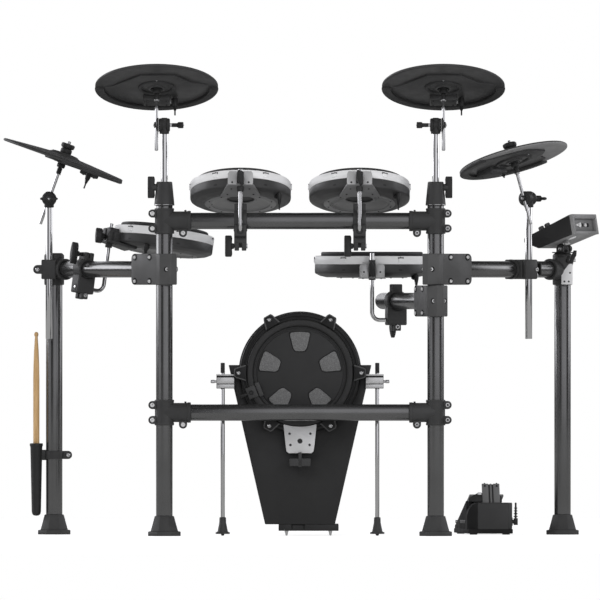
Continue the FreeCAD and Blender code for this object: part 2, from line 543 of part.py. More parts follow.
def drum_pad(label, wide, frame):
    edge = f"{wide} / 2"
    name = label + "_shell"
    top = "shell_high"
    shell = turned(name + "_bowl", [
        (33, 10), (78, 3), (82, 0), (f"{edge} - 27", 0), (edge, 9.4), (edge, top), (f"{edge} - 4", top),
        (f"{edge} - 4", 17), (f"{edge} - 26", 13), (33, 13)])
    sensor = turned(name + "_sensor", [
        (0, 13), (46, 13), (46, 15), (16, 15), (6, f"{top} + band_high"), (0, f"{top} + band_high")])
    centre = f"({edge} + pad_off)"
    cheek = plate(name + "_cheek", [
        (-29, -3), (29, -3), (29, "shell_high + 9"), (-29, "shell_high + 9")], "pad_off + 22")
    cheek.Placement = place(0, v.pad_off + 12, 0, 90, (1, 0, 0))
    gusset = plate(name + "_gusset", [(-29, -9.9), (29, -9.9), (43, 54), (-43, 54)], 5)
    gusset.Placement = place(0, 0, -5)
    room = cylinder(name + "_room", edge, 200, (0, centre, 0))
    band_room = cylinder(name + "_band_room", f"{edge} + 1.4", 200, (0, centre, "shell_high - 0.2"))
    bore = cylinder(name + "_bore", "rod_r + slip", 200, (0, 0, -100))
    drill = cylinder(name + "_drill", "stem_r + slip", 30, (0, -25, 16), "y")
    bracket = cut(name + "_bracket", fuse(name + "_arm", [cheek, gusset]), [room, band_room, bore, drill])
    grip = handle(name + "_handle", "26 - rod_r - 0.3")
    grip.Placement = place(0, -26, 16, 90)
    boot = turned(name + "_boot", [
        (0, -42), (1.8, -42), (1.8, -28), (3.4, -28), (3.4, -26), (2.4, -26), (2.4, -24), (4, -24), (4, -21),
        (2.8, -21), (2.8, -18), (5.5, -18), (5.5, -4), (0, -4)])
    barrel = cylinder(name + "_barrel", 4.4, 22, (0, 0, -9), "y")
    jack = fuse(name + "_jack", [boot, barrel])
    spin = math.radians(-37)
    reach = sheet.get(wide) / 2 - 4
    jack.Placement = place(0, sheet.get(wide) / 2 + v.pad_off, 3).multiply(
        place(reach * math.cos(spin), reach * math.sin(spin), 5.5, math.degrees(spin) + 90))
    keep = turned(name + "_keep", [(0, 0), (f"{edge} - 27", 0), (edge, 9.4), (edge, 100), (0, 100)])
    bind(keep, "Placement.Base.y", centre)
    plug = cut(name + "_plug", jack, [keep])
    for item in (shell, sensor):
        bind(item, "Placement.Base.y", centre)
    node(name, [shell, sensor, bracket, grip, plug], frame)
    name = label + "_head"
    base = "shell_high"
    upper = "shell_high + band_high"
    ring = turned(name + "_ring", [
        (f"{edge} - 7", base), (edge, base), (f"{edge} + 0.6", f"{base} + 1"), (f"{edge} - 0.5", upper),
        (f"{edge} - 19", upper), (f"{edge} - 19", f"{upper} - 4"), (f"{edge} - 7", f"{upper} - 4")])
    claws = []
    for i in range(6):
        claw = box(f"{name}_claw{i}", (f"{edge} - 3", -6, f"{base} + 4"), (f"{edge} + 2.4", 6, f"{upper} - 5"))
        claws.append(moved(claw, place(turn=60 * i)))
    hoop = fuse(name + "_hoop", [ring] + claws)
    mesh = cylinder(name + "_mesh", f"{edge} - 15", 1, (0, 0, upper))
    rim = turned(name + "_rim", [
        (f"{edge} - 27", f"{upper} + 1"), (f"{edge} - 14.5", f"{upper} + 1"),
        (f"{edge} - 14.5", f"{upper} + rim_high - 2"), (f"{edge} - 17", f"{upper} + rim_high"),
        (f"{edge} - 24", f"{upper} + rim_high"), (f"{edge} - 27", f"{upper} + rim_high - 3")])
    set_back = place(0, sheet.get(wide) / 2 + v.pad_off, 0)
    node(name, [hoop, mesh, rim], frame.multiply(set_back))


for side, sign in (("left", -1), ("right", 1)):
    label = f"tom_{side}"
    frame = place(sign * v.tom_x, 0, v.upper_z).multiply(place(turn=-v.tom_tilt, axis=(1, 0, 0)))
    rail_mount(f"{label}_mount", "tom_drop", "tom_front", "tom_rod + 30", -1, frame)
    drum_pad(label, "tom_d", frame.multiply(place(0, -v.tom_front, v.tom_rod - 16)))
floor_rail = left_frame.multiply(place(v.arm_long - v.floor_back)).multiply(place(turn=v.floor_tilt, axis=(1, 0, 0)))
rail_mount("floor_tom_mount", "low_drop", "low_front", "floor_rod + 34", 0, floor_rail)
drum_pad("floor_tom", "tom_d", floor_rail.multiply(place(0, -v.low_front, v.floor_rod - 16, v.floor_turn)))
snare_rail = snare_frame.multiply(place(v.arm_long - v.snare_back, turn=180))
rail_mount("snare_mount", "low_drop", "low_front", "snare_rod + 40", -1, snare_rail)
drum_pad("snare", "snare_d", snare_rail.multiply(place(0, -v.low_front, v.snare_rod - 16, v.snare_turn)))

# Kick drum, its turned pieces facing the front
face = place(0, v.kick_y, v.kick_z, 90, (1, 0, 0))
back = "kick_deep"
kick_tube = turned("kick_tube", [
    ("kick_r - 9", f"-{back}"), ("kick_r", f"-{back}"), ("kick_r", -14), ("kick_r - 9", -14)])
node("kick_shell", [kick_tube], face)
front_hoop = turned("kick_front_hoop", [
    ("kick_panel", -14), ("kick_r", -14), ("kick_r", -6), ("kick_r - 3", -3), ("kick_ring + 1", -3),
    ("kick_ring - 1", 2), ("kick_panel + 3", 2), ("kick_panel", -1)])
back_hoop = turned("kick_back_hoop", [
    ("kick_r - 16", f"-{back} - 13"), ("kick_r + 3", f"-{back} - 13"), ("kick_r + 3", f"-{back} - 1.2"),
    ("kick_r - 16", f"-{back} - 1.2")])
hardware = [front_hoop, back_hoop]
rod_holes = []
for i in range(6):
    claw = plate(f"kick_claw{i}", [
        (-20, "kick_ring + 2"), (20, "kick_ring + 2"), (14, "kick_r + 8"), (11, "kick_r + 13"), (-11, "kick_r + 13"),
        (-14, "kick_r + 8")], 9)
    bind(claw, "Placement.Base.z", -3)
    tension = cylinder(f"kick_tension{i}", 3.2, f"{back} + 14", (0, "kick_r + 7.5", f"-{back} - 17"))
    latch = box(f"kick_latch{i}", (-7, "kick_r - 6", f"-{back} - 17"), (7, "kick_r + 13", f"-{back} - 13"))
    hardware.append(moved(fuse(f"kick_lug{i}", [claw, tension, latch]), place(turn=60 * i + 30)))
    rod_hole = cylinder(f"tower_rod_hole{i}", 3.8, 200, (0, "kick_r + 7.5", -150))
    rod_holes.append(moved(rod_hole, face.multiply(place(turn=60 * i + 30))))
node("kick_hoops", hardware, face)
panel = cylinder("kick_panel_disc", "kick_panel - slip", 6, (0, 0, -14))
windows = []
for i in range(5):
    window = plate(f"kick_window{i}", [
        (-11, 43), (11, 43), (17, 51), (25, 83), (21, 88), (-21, 88), (-25, 83), (-17, 51)], 30)
    windows.append(moved(window, place(0, 0, -25, 72 * i)))
node("kick_rear_panel", [cut("kick_panel_plate", panel, windows)], face)
foam = cylinder("kick_foam_disc", "kick_r - 9 - slip", f"{back} - 14", (0, 0, f"-{back}"))
node("kick_foam", [foam], face)
node("kick_head", [cylinder("kick_skin", "kick_r - 1", 1.2, (0, 0, f"-{back} - 1.2"))], face)

# Kick stand: tower plate, front yoke, spur clamps and base plate
stand = "(kick_y + tower_gap)"
low = "(plate_lift + plate_high)"
knob_z = "(kick_z - 206)"
tower_blank = plate("tower_blank", [
    ("-tower_narrow", low), ("tower_narrow", low), ("tower_wide", "tower_top"), ("-tower_wide", "tower_top")],
    "tower_thick")
tower_blank.Placement = place(0, v.kick_y + v.tower_gap + v.tower_thick, 0, 90, (1, 0, 0))
tower_room = cylinder("tower_room", "kick_r + slip", 300, (0, "kick_y - 100", "kick_z"), "y")
tower_hole = cylinder("tower_hole", "stem_r + slip", 15, (0, stand, knob_z), "y")
node("kick_tower", [cut("tower_plate", tower_blank, [tower_room, tower_hole] + rod_holes)])
yoke_blank = plate("yoke_blank", [
    (-26, "kick_z - 185"), (26, "kick_z - 185"), (31, "kick_z - 181"), (33, "kick_z - 169"), (39, "kick_z - 112"),
    (-39, "kick_z - 112"), (-33, "kick_z - 169"), (-31, "kick_z - 181")], 3)
yoke_blank.Placement = place(0, v.kick_y + 3, 0, 90, (1, 0, 0))
yoke_holes = [cylinder("yoke_room", "kick_ring + 1.5", 100, (0, "kick_y - 50", "kick_z"), "y")]
yoke_spots = ((24, 140, 2.7), (-24, 140, 2.7), (22, 166, 2.7), (-22, 166, 2.7), (0, 157, 6))
for i, (across, up, size) in enumerate(yoke_spots):
    yoke_holes.append(cylinder(f"yoke_hole{i}", size, 60, (across, "kick_y - 30", f"kick_z - {up}"), "y"))
yoke = cut("yoke", yoke_blank, yoke_holes)
spacer = box("yoke_spacer", (-26, "kick_y + 3", "kick_z - 181"), (26, stand, "kick_z - 147"))
lock = handle("tower_handle", 42)
lock.Placement = place(0, v.kick_y + v.tower_gap - 27, v.kick_z - 206, 90).multiply(place(turn=90, axis=(1, 0, 0)))
brackets = [yoke, spacer, lock]
spur_z = "(kick_z - 20)"
for side, sign in (("left", -1), ("right", 1)):
    inner, outer = sorted((sign * 151, sign * 192.5))
    block = box(f"spur_block_{side}", (inner, f"{stand} - 16", "kick_z - 36"), (outer, stand, "kick_z - 3"))
    rod_bore = cylinder(f"spur_bore_{side}", "rod_r + slip", 100, (f"{sign} * spur_x", f"{stand} - 8", "kick_z - 80"))
    thumb_bore = cylinder(f"spur_thumb_bore_{side}", "3 + slip", 40, (sign * 200 - 20, f"{stand} - 8", spur_z), "x")
    thumb = fuse(f"spur_thumb_{side}", [
        cylinder(f"spur_thumb_stem_{side}", 3, "206 - spur_x - rod_r - 0.3", ("spur_x + rod_r + 0.3", 0, 0), "x"),
        box(f"spur_thumb_bar_{side}", (197, -4, -10), (206, 4, 10))])
    thumb.Placement = place(0, v.kick_y + v.tower_gap - 8, v.kick_z - 20, 0 if sign > 0 else 180)
    brackets += [cut(f"spur_clamp_{side}", block, [rod_bore, thumb_bore]), thumb]
    spur_foot = turned(f"spur_foot_{side}", [
        (0, 0), (3, 0), (4.5, 4), (16.7, 4), (16.7, 9), (13, 11), (7.2, 42.6), ("rod_r + slip", 42.6),
        ("rod_r + slip", 20), (0, 20)])
    spur_rod = cylinder(f"spur_rod_{side}", "rod_r", "spur_top - 20", (0, 0, 20))
    node(f"kick_spur_{side}", [spur_foot, spur_rod], place(sign * v.spur_x, v.kick_y + v.tower_gap - 8, 0))
node("kick_brackets", brackets)
sole = [box("sole_plate", (-49.5, stand, "plate_lift"), (89, f"{stand} + 215", low))]
for i, (across, along) in enumerate(((-31, 12), (70, 12), (-31, 200), (70, 200))):
    sole.append(cone(f"sole_spike{i}", 2, 5, "plate_lift + 2", (across, f"{stand} + {along}", 0)))
node("kick_pedal_plate", [fuse("sole", sole)])

# Foot controller: base with housing and cheeks, then the hinged footboard
pedal = place(v.pedal_x, v.pedal_y, 0, v.pedal_turn)
half = "(pedal_wide / 2)"
toe = "(pedal_long - 12)"
housing = plate("housing", [(f"-{half}", 12), (half, 12), (f"{half} - 12", 75), (f"12 - {half}", 75)], 55)
housing.Placement = place(0, 55, 0, 90, (1, 0, 0))
frame_parts = [housing, box("deck", (f"-{half}", 0, 5), (half, "pedal_long", 13))]
frame_parts.append(box("jack_block", (f"{half} - 14", 18, 20), (f"{half} + 2", 38, 40)))
pin_bore = [cylinder("board_pin_bore", "pin_r + slip", 300, (-150, toe, "board_z"), "x")]
for side, across in (("left", -v.pedal_wide / 2 + 2), ("right", v.pedal_wide / 2 - 6)):
    cheek = plate(f"cheek_{side}", [
        (54, 12), ("pedal_long", 12), ("pedal_long", "board_z + 6"), (f"{toe} - 8", "board_z + 11"), (54, 66)], 4)
    cheek.Placement = place(across, 0, 0, 120, (1, 1, 1))
    frame_parts.append(cheek)
pads = []
for i, (across, along) in enumerate(((-38, 16), (38, 16), (-38, 246), (38, 246))):
    pads.append(cylinder(f"pedal_pad{i}", 9, 5, (across, along, 0)))
pedal_frame = cut("pedal_frame", fuse("pedal_body", frame_parts), pin_bore)
board_pin = cylinder("board_pin", "pin_r", "pedal_wide - 4", (f"2 - {half}", toe, "board_z"), "x")
bump = cone("pedal_bump", 14, 9, 27, (0, 120, 13))
lead = fuse("pedal_lead", [
    cylinder("pedal_lead_barrel", 4.5, 8, (f"{half} + 2", 28, 30), "x"),
    moved(turned("pedal_lead_boot", [
        (0, -7), (5.5, -7), (5.5, 6), (2.8, 6), (2.8, 9), (4, 9), (4, 12), (2.6, 12), (2.6, 15), (3.4, 15), (3.4, 18),
        (1.8, 18), (1.8, 44), (0, 44)]), place(v.pedal_wide / 2 + 9, 28, 30))])
node("hihat_pedal_base", [pedal_frame, board_pin, bump, lead] + pads, pedal)
board_parts = [
    box("board_plate", ("12 - pedal_wide / 2", "-board_long", 4), ("pedal_wide / 2 - 12", 4, 10)),
    cylinder("board_knuckle", 9, "pedal_wide - 28", (f"14 - {half}", 0, 0), "x"),
    box("board_toe", (-20.5, "-board_long - 6", -25), (20.5, "-board_long", 34)),
]
board_cuts = [cylinder("board_bore", "pin_r + slip", 300, (-150, 0, 0), "x")]
for i, across in enumerate((-5.6, 2.2)):
    board_cuts.append(box(f"board_groove{i}", (across, "-board_long - 8", -5),
                          (f"{across} + 3.4", "-board_long - 3", 30)))
board = cut("board", fuse("board_body", board_parts), board_cuts)
hinge = pedal.multiply(place(0, v.pedal_long - 12, v.board_z)).multiply(place(turn=-v.board_rise, axis=(1, 0, 0)))
node("hihat_footboard", [board], hinge)

# Sound module on the right leg: x to its rear, y up, z along the hinge
tilt = place(right_leg.x, right_leg.y, v.hinge_z, -v.case_turn).multiply(place(turn=90, axis=(1, 0, 0)))
case = tilt.multiply(place(-v.hinge_in, -v.hinge_up, -v.case_wide / 2))
middle = "(case_wide / 2)"
slope = math.degrees(math.atan2(58, 116.5))
skin = plate("case_skin", [(14, 1.6), (103, 37), (95.5, 83.5), (-21, 25.5), (-21, 15.5)], "case_wide")
hollow = plate("case_hollow", [
    ("case_wall + 12", "case_wall + 2.5"), (83, "case_wall + 30"), (83, "76 - case_wall"),
    ("case_wall - 18", "27.5 - case_wall"), ("case_wall - 18", "case_wall + 14")], "case_wide - 2 * case_wall")
bind(hollow, "Placement.Base.z", "case_wall")
recess = box("case_recess", (87, 46, 34), (130, 74, "case_wide - 34"))
knob_spots = []
for label, along in (("front", 42), ("rear", 58)):
    angle = math.radians(slope)
    seat = place(along * math.cos(angle) - 21, along * math.sin(angle) + 25.5, v.case_wide - 20, slope)
    knob_spots.append((label, seat.multiply(place(turn=-90, axis=(1, 0, 0)))))
knob_holes = []
for label, seat in knob_spots:
    knob_holes.append(moved(cylinder(f"knob_hole_{label}", "3 + slip", 40, (0, 0, -20)), seat))
shell = cut("case_shell", skin, [hollow, recess] + knob_holes)
knuckle = fuse("case_knuckle", [
    cylinder("case_barrel", 7, 25, ("hinge_in", "hinge_up", f"{middle} - 12.5")),
    box("case_neck", ("hinge_in - 9", "hinge_up", f"{middle} - 12.5"), ("hinge_in + 9", 21, f"{middle} + 12.5"))])
pin_hole = cylinder("case_pin_hole", "pin_r + slip", 400, ("hinge_in", "hinge_up", -100))
body = cut("case_body", fuse("case_solid", [shell, knuckle]), [pin_hole])
board = box("case_board", (10, 32, "case_wall"), (62, 33.6, "case_wide - case_wall"))
sockets = [cylinder(f"case_socket{i}", 4.5, 7, (87, 60, f"{middle} - 44 + {22 * i}"), "x") for i in range(5)]
node("module_case", [body, board] + sockets, case)
glass = box("case_glass", (70, 0, 54), (118, 1.2, "case_wide - 44"))
node("module_screen", [glass], case.multiply(place(-21, 25.5, 0, slope)))
for label, seat in knob_spots:
    knob = turned(f"knob_{label}", [
        (0, -6), (3, -6), (3, 0.4), ("knob_r", 0.4), ("knob_r - 0.4", "knob_high"), (0, "knob_high")])
    node(f"module_knob_{label}", [knob], case.multiply(seat))
floor_y = "(arm_z + leg_cap - hinge_z)"
ears = [box("ear_base", (-18, floor_y, -24), (18, f"{floor_y} + 2.4", 24))]
for i, near in enumerate((-20, 13)):
    ears.append(box(f"ear_post{i}", (-9, floor_y, near), (9, 0, near + 7)))
    ears.append(cylinder(f"ear_round{i}", 9, 7, (0, 0, near)))
ear_hole = cylinder("ear_pin_hole", "pin_r + slip", 200, (0, 0, -100))
pin = fuse("module_pin", [
    cylinder("module_pin_knob", 9.5, 14, (0, 0, -46)), cylinder("module_pin_shaft", "pin_r", 68, (0, 0, -46))])
node("module_bracket", [cut("ear_bracket", fuse("ear_solid", ears), [ear_hole]), pin], tilt)

# Write one file per node
doc.recompute()
bad = []
for item in doc.Objects:
    if not hasattr(item, "Shape") or item.TypeId.startswith("App::"):
        continue
    if "Invalid" in item.State or "Error" in item.State or item.Shape.isNull() or not item.Shape.isValid():
        bad.append(item.Name)
if bad:
    raise SystemExit("these objects failed: " + ", ".join(bad))
os.makedirs("parts", exist_ok=True)
for item in nodes:
    moved(item, place(v.post_x))
doc.recompute()
for item in nodes:
    item.Shape.exportStep(f"parts/{item.Label}.step")
    print(item.Label, len(item.Shape.Solids), "solids")
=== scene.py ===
import bmesh
import bpy
import math
from mathutils import Matrix, Vector


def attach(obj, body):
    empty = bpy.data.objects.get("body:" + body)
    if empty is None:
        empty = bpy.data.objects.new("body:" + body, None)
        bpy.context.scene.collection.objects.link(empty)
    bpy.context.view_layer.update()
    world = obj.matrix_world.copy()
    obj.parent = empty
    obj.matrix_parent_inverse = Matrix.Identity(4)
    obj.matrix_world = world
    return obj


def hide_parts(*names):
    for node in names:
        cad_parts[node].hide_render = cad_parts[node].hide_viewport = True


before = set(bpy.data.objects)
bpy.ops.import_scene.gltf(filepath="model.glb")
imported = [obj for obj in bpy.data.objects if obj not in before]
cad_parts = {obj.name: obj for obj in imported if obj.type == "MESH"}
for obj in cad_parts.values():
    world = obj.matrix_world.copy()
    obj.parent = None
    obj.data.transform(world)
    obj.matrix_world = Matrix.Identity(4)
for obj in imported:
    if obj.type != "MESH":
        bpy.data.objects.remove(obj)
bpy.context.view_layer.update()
scene = bpy.context.scene
print("frame:", len(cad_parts), "nodes")


# Finishes
class Finish:
    def __init__(self, name, colour, rough, metal=0.0):
        self.mat = bpy.data.materials.new(name)
        self.mat.use_nodes = True
        self.tree = self.mat.node_tree
        self.shader = self.tree.nodes["Principled BSDF"]
        self.shader.inputs["Base Color"].default_value = (*colour, 1)
        self.shader.inputs["Roughness"].default_value = rough
        self.shader.inputs["Metallic"].default_value = metal
        self.coord = self.make("ShaderNodeTexCoord").outputs["Object"]

    def make(self, kind, **values):
        item = self.tree.nodes.new(kind)
        for key, value in values.items():
            item.inputs[key.replace("_", " ")].default_value = value
        return item

    def link(self, source, item, socket):
        self.tree.links.new(source, item.inputs[socket])

    def noise(self, scale, detail=3.0, stretch=(1, 1, 1)):
        mapping = self.make("ShaderNodeMapping", Scale=stretch)
        self.link(self.coord, mapping, "Vector")
        noise = self.make("ShaderNodeTexNoise", Scale=scale, Detail=detail)
        self.link(mapping.outputs["Vector"], noise, "Vector")
        return noise.outputs["Fac"]

    def tint(self, fac, dark, light, low=0.35, high=0.65):
        ramp = self.make("ShaderNodeValToRGB")
        for stop, spot, colour in zip(ramp.color_ramp.elements, (low, high), (dark, light)):
            stop.position = spot
            stop.color = (*colour, 1)
        self.link(fac, ramp, "Fac")
        self.link(ramp.outputs["Color"], self.shader, "Base Color")
        return ramp

    def gloss(self, fac, smooth, dull):
        span = self.make("ShaderNodeMapRange", From_Min=0.3, From_Max=0.7, To_Min=smooth, To_Max=dull)
        self.link(fac, span, "Value")
        self.link(span.outputs["Result"], self.shader, "Roughness")

    def bump(self, fac, strength, depth):
        bump = self.make("ShaderNodeBump", Strength=strength, Distance=depth)
        self.link(fac, bump, "Height")
        self.link(bump.outputs["Normal"], self.shader, "Normal")

    def dust(self, colour, most):  # settles on faces that look up
        source = self.shader.inputs["Base Color"].links[0].from_socket
        split = self.make("ShaderNodeSeparateXYZ")
        self.link(self.make("ShaderNodeNewGeometry").outputs["Normal"], split, "Vector")
        speck = self.make("ShaderNodeMath")
        speck.operation = "MULTIPLY"
        self.link(split.outputs["Z"], speck, 0)
        self.link(self.noise(60, 5.0), speck, 1)
        span = self.make("ShaderNodeMapRange", From_Min=0.1, From_Max=0.7, To_Min=0.0, To_Max=most)
        self.link(speck.outputs["Value"], span, "Value")
        mix = self.make("ShaderNodeMixRGB")
        mix.inputs[2].default_value = (*colour, 1)
        self.link(span.outputs["Result"], mix, 0)
        self.link(source, mix, 1)
        self.link(mix.outputs["Color"], self.shader, "Base Color")


def grey(level):
    return level, level, level


def moulded(name, dark, light, smooth, dull, grain=900, depth=0.00012, dusty=0.06, shine=0.5):
    skin = Finish(name, grey(dark), dull)
    skin.shader.inputs["Specular IOR Level"].default_value = shine
    skin.tint(skin.noise(14, 5.0), grey(dark), grey(light))
    skin.gloss(skin.noise(40, 4.0), smooth, dull)
    skin.bump(skin.noise(grain, 2.0), 0.35, depth)
    if dusty:
        skin.dust((0.3, 0.29, 0.27), dusty)
    return skin.mat


def metalled(name, dark, light, smooth, dull, metal=1.0, stretch=(1, 1, 1), grain=220, depth=0.00003):
    skin = Finish(name, grey(light), smooth, metal)
    skin.tint(skin.noise(9, 5.0), grey(dark), grey(light))
    skin.gloss(skin.noise(26, 6.0), smooth, dull)
    skin.bump(skin.noise(grain, 3.0, stretch), 0.25, depth)
    return skin.mat


charcoal = metalled("charcoal_tube", 0.20, 0.23, 0.21, 0.26, 0.92, grain=700, depth=0.00001)
blackNylon = moulded("black_nylon", 0.032, 0.042, 0.42, 0.55)
clampGrey = moulded("clamp_grey", 0.06, 0.075, 0.42, 0.55)
shellBlack = moulded("shell_black", 0.040, 0.050, 0.36, 0.48)
gripBlack = moulded("grip_black", 0.016, 0.024, 0.4, 0.52, 1400)
padRubber = moulded("pad_rubber", 0.030, 0.038, 0.5, 0.65, 1100, 0.0002)
footRubber = moulded("foot_rubber", 0.035, 0.048, 0.45, 0.6, 700, 0.0002)
towerPaint = moulded("tower_paint", 0.017, 0.020, 0.42, 0.52, 1600, 0.00006)
modulePlastic = moulded("module_plastic", 0.014, 0.020, 0.45, 0.58, 1500)
ringBlack = moulded("ring_black", 0.020, 0.024, 0.4, 0.5, 1500, 0.00006)
hoopBlack = moulded("hoop_black", 0.005, 0.008, 0.4, 0.5, 1500, 0.00006)
# near-black with almost no sheen: painted shade for the screw pockets
screwPocketShade = moulded("screw_pocket_shade", 0.003, 0.005, 0.6, 0.75, 1500, 0.00006, 0.0, 0.04)
mattBlack = moulded("matt_black", 0.018, 0.024, 0.6, 0.75, 1500, 0.00006, 0.0, 0.06)
panelGrey = moulded("panel_grey", 0.13, 0.165, 0.4, 0.5, 1500, 0.00006)
moduleGrey = moulded("module_grey", 0.20, 0.25, 0.36, 0.48, 1500, 0.00006)
hoopWhite = moulded("hoop_white", 0.82, 0.88, 0.28, 0.4, 1200, 0.00004, 0.0)
castGrey = metalled("cast_grey", 0.50, 0.58, 0.42, 0.55, 0.35, grain=900, depth=0.00008)
midCast = metalled("mid_cast", 0.20, 0.25, 0.42, 0.55, 0.35, grain=900, depth=0.00008)
# dark cast finish; on the floor tom's bracket its darkness is painted shade
darkCastAndShade = metalled("dark_cast_and_shade", 0.04, 0.052, 0.42, 0.55, 0.35, grain=900, depth=0.00008)
dishGrey = metalled("dish_grey", 0.20, 0.25, 0.26, 0.36, 0.7, grain=600)
# pale cast finish; also the spur brackets' bright ribs, which are painted highlights
paleCastAndHighlight = metalled("pale_cast_and_highlight", 0.62, 0.72, 0.26, 0.36, 0.6, grain=600)
plateSteel = metalled("plate_steel", 0.70, 0.80, 0.34, 0.48, 0.3, (1, 1, 12))
boltSteel = metalled("bolt_steel", 0.75, 0.85, 0.2, 0.32)
darkSteel = metalled("dark_steel", 0.04, 0.06, 0.34, 0.46, 0.8)
chrome = metalled("chrome", 0.84, 0.90, 0.05, 0.12, grain=120, depth=0.00001)


def makeMeshHead():
    skin = Finish("mesh_head", grey(0.7), 0.7)
    weave = []
    for way in ("X", "Y"):
        wave = skin.make("ShaderNodeTexWave", Scale=260.0, Distortion=0.4, Detail=1.0)
        wave.bands_direction = way
        skin.link(skin.coord, wave, "Vector")
        weave.append(wave.outputs["Fac"])
    both = skin.make("ShaderNodeMath")
    both.operation = "MAXIMUM"
    skin.link(weave[0], both, 0)
    skin.link(weave[1], both, 1)
    skin.tint(both.outputs["Value"], grey(0.42), grey(0.74), 0.3, 0.8)
    skin.bump(both.outputs["Value"], 0.5, 0.0003)
    return skin.mat


def makeFoam():
    skin = Finish("open_foam", grey(0.15), 0.95)
    cells = skin.make("ShaderNodeTexVoronoi", Scale=420.0)
    skin.link(skin.coord, cells, "Vector")
    skin.tint(cells.outputs["Distance"], grey(0.20), grey(0.13), 0.1, 0.6)
    skin.bump(cells.outputs["Distance"], 0.8, 0.0008)
    return skin.mat


def makeHickory():
    skin = Finish("hickory", (0.6, 0.4, 0.2), 0.42)
    skin.tint(skin.noise(30, 6.0, (9, 9, 0.5)), (0.50, 0.30, 0.12), (0.72, 0.48, 0.24), 0.3, 0.7)
    skin.gloss(skin.noise(80, 3.0), 0.36, 0.5)
    skin.bump(skin.noise(90, 4.0, (9, 9, 0.4)), 0.3, 0.0002)
    return skin.mat


def makeGlass():
    skin = Finish("screen_glass", grey(0.010), 0.08)
    skin.tint(skin.noise(18, 3.0), grey(0.008), grey(0.013))
    skin.gloss(skin.noise(35, 6.0), 0.05, 0.16)
    skin.shader.inputs["Coat Weight"].default_value = 0.6
    return skin.mat


meshHead, foam, hickory, screenGlass = makeMeshHead(), makeFoam(), makeHickory(), makeGlass()
print("finishes ready")


# Shapes, in millimetres
def at(x=0, y=0, z=0, turn=0):
    return Matrix.Translation((x, y, z)) @ Matrix.Rotation(math.radians(turn), 4, "Z")


def tip(angle, axis="X"):
    return Matrix.Rotation(math.radians(angle), 4, axis)


alongX, alongY = tip(90, "Y"), tip(-90)
middle = at(312)


def soften(shape, soft, rounds=2, angle=30):
    limit = math.radians(angle)
    edges = [e for e in shape.edges if len(e.link_faces) == 2 and e.calc_face_angle(0) > limit]
    if soft and edges:
        bmesh.ops.bevel(shape, geom=edges, offset=soft, segments=rounds, profile=0.5, affect="EDGES", clamp_overlap=True,
                        material=-1)
    return shape


def lathe(points, steps=48, soft=0.6, rounds=2, sweep=360):
    shape = bmesh.new()
    ring = [shape.verts.new((r, 0, z)) for r, z in points]
    openEnds = points[0][0] == 0 and points[-1][0] == 0
    for pair in zip(ring, ring[1:] + ([] if openEnds else ring[:1])):
        shape.edges.new(pair)
    if soft:
        bmesh.ops.bevel(shape, geom=[corner for corner in ring if corner.co.x > 0], offset=soft, segments=rounds, profile=0.5,
                        affect="VERTICES", clamp_overlap=True, material=-1)
    bmesh.ops.spin(shape, geom=shape.verts[:] + shape.edges[:], cent=(0, 0, 0), axis=(0, 0, 1), angle=math.radians(sweep),
                   steps=steps, use_merge=sweep == 360)
    bmesh.ops.remove_doubles(shape, verts=shape.verts, dist=1e-3)
    if sweep != 360:
        bmesh.ops.holes_fill(shape, edges=[e for e in shape.edges if e.is_boundary], sides=0)
    bmesh.ops.recalc_face_normals(shape, faces=shape.faces)
    return shape


def rod(radius, high, soft=0.5, steps=40, low=0):
    return lathe([(0, low), (radius, low), (radius, low + high), (0, low + high)], steps, soft)


def tube(outer, inner, high, soft=0.4, steps=56, low=0):
    return lathe([(inner, low), (outer, low), (outer, low + high), (inner, low + high)], steps, soft)


def block(lows, highs, soft=1.0, rounds=2):
    shape = bmesh.new()
    centre = [(low + high) / 2 for low, high in zip(lows, highs)]
    span = [high - low for low, high in zip(lows, highs)]
    bmesh.ops.create_cube(shape, size=1, matrix=Matrix.Translation(centre) @ Matrix.Diagonal((*span, 1)))
    return soften(shape, soft, rounds)


def slab(points, high, soft=0.8, corner=0.0, low=0, rounds=2):
    shape = bmesh.new()
    ring = [shape.verts.new((x, y, low)) for x, y in points]
    shape.faces.new(ring)
    if corner:
        bmesh.ops.bevel(shape, geom=ring, offset=corner, segments=4, profile=0.5, affect="VERTICES", clamp_overlap=True,
                        material=-1)
    grown = bmesh.ops.extrude_face_region(shape, geom=shape.faces[:])["geom"]
    bmesh.ops.translate(shape, vec=(0, 0, high), verts=[item for item in grown if isinstance(item, bmesh.types.BMVert)])
    bmesh.ops.recalc_face_normals(shape, faces=shape.faces)
    return soften(shape, soft, rounds, 40)


def arc(radius, first, last, count, up=0):
    turns = [math.radians(first + (last - first) * i / (count - 1)) for i in range(count)]
    return [(radius * math.cos(a), up + radius * math.sin(a)) for a in turns]


def loft(rings):  # skin through rings of equal length, both ends closed
    shape = bmesh.new()
    rows = [[shape.verts.new(point) for point in ring] for ring in rings]
    for low, high in zip(rows, rows[1:]):
        for i in range(len(low)):
            shape.faces.new((low[i - 1], low[i], high[i], high[i - 1]))
    shape.faces.new(rows[0])
    shape.faces.new(rows[-1])
    bmesh.ops.recalc_face_normals(shape, faces=shape.faces)
    return shape


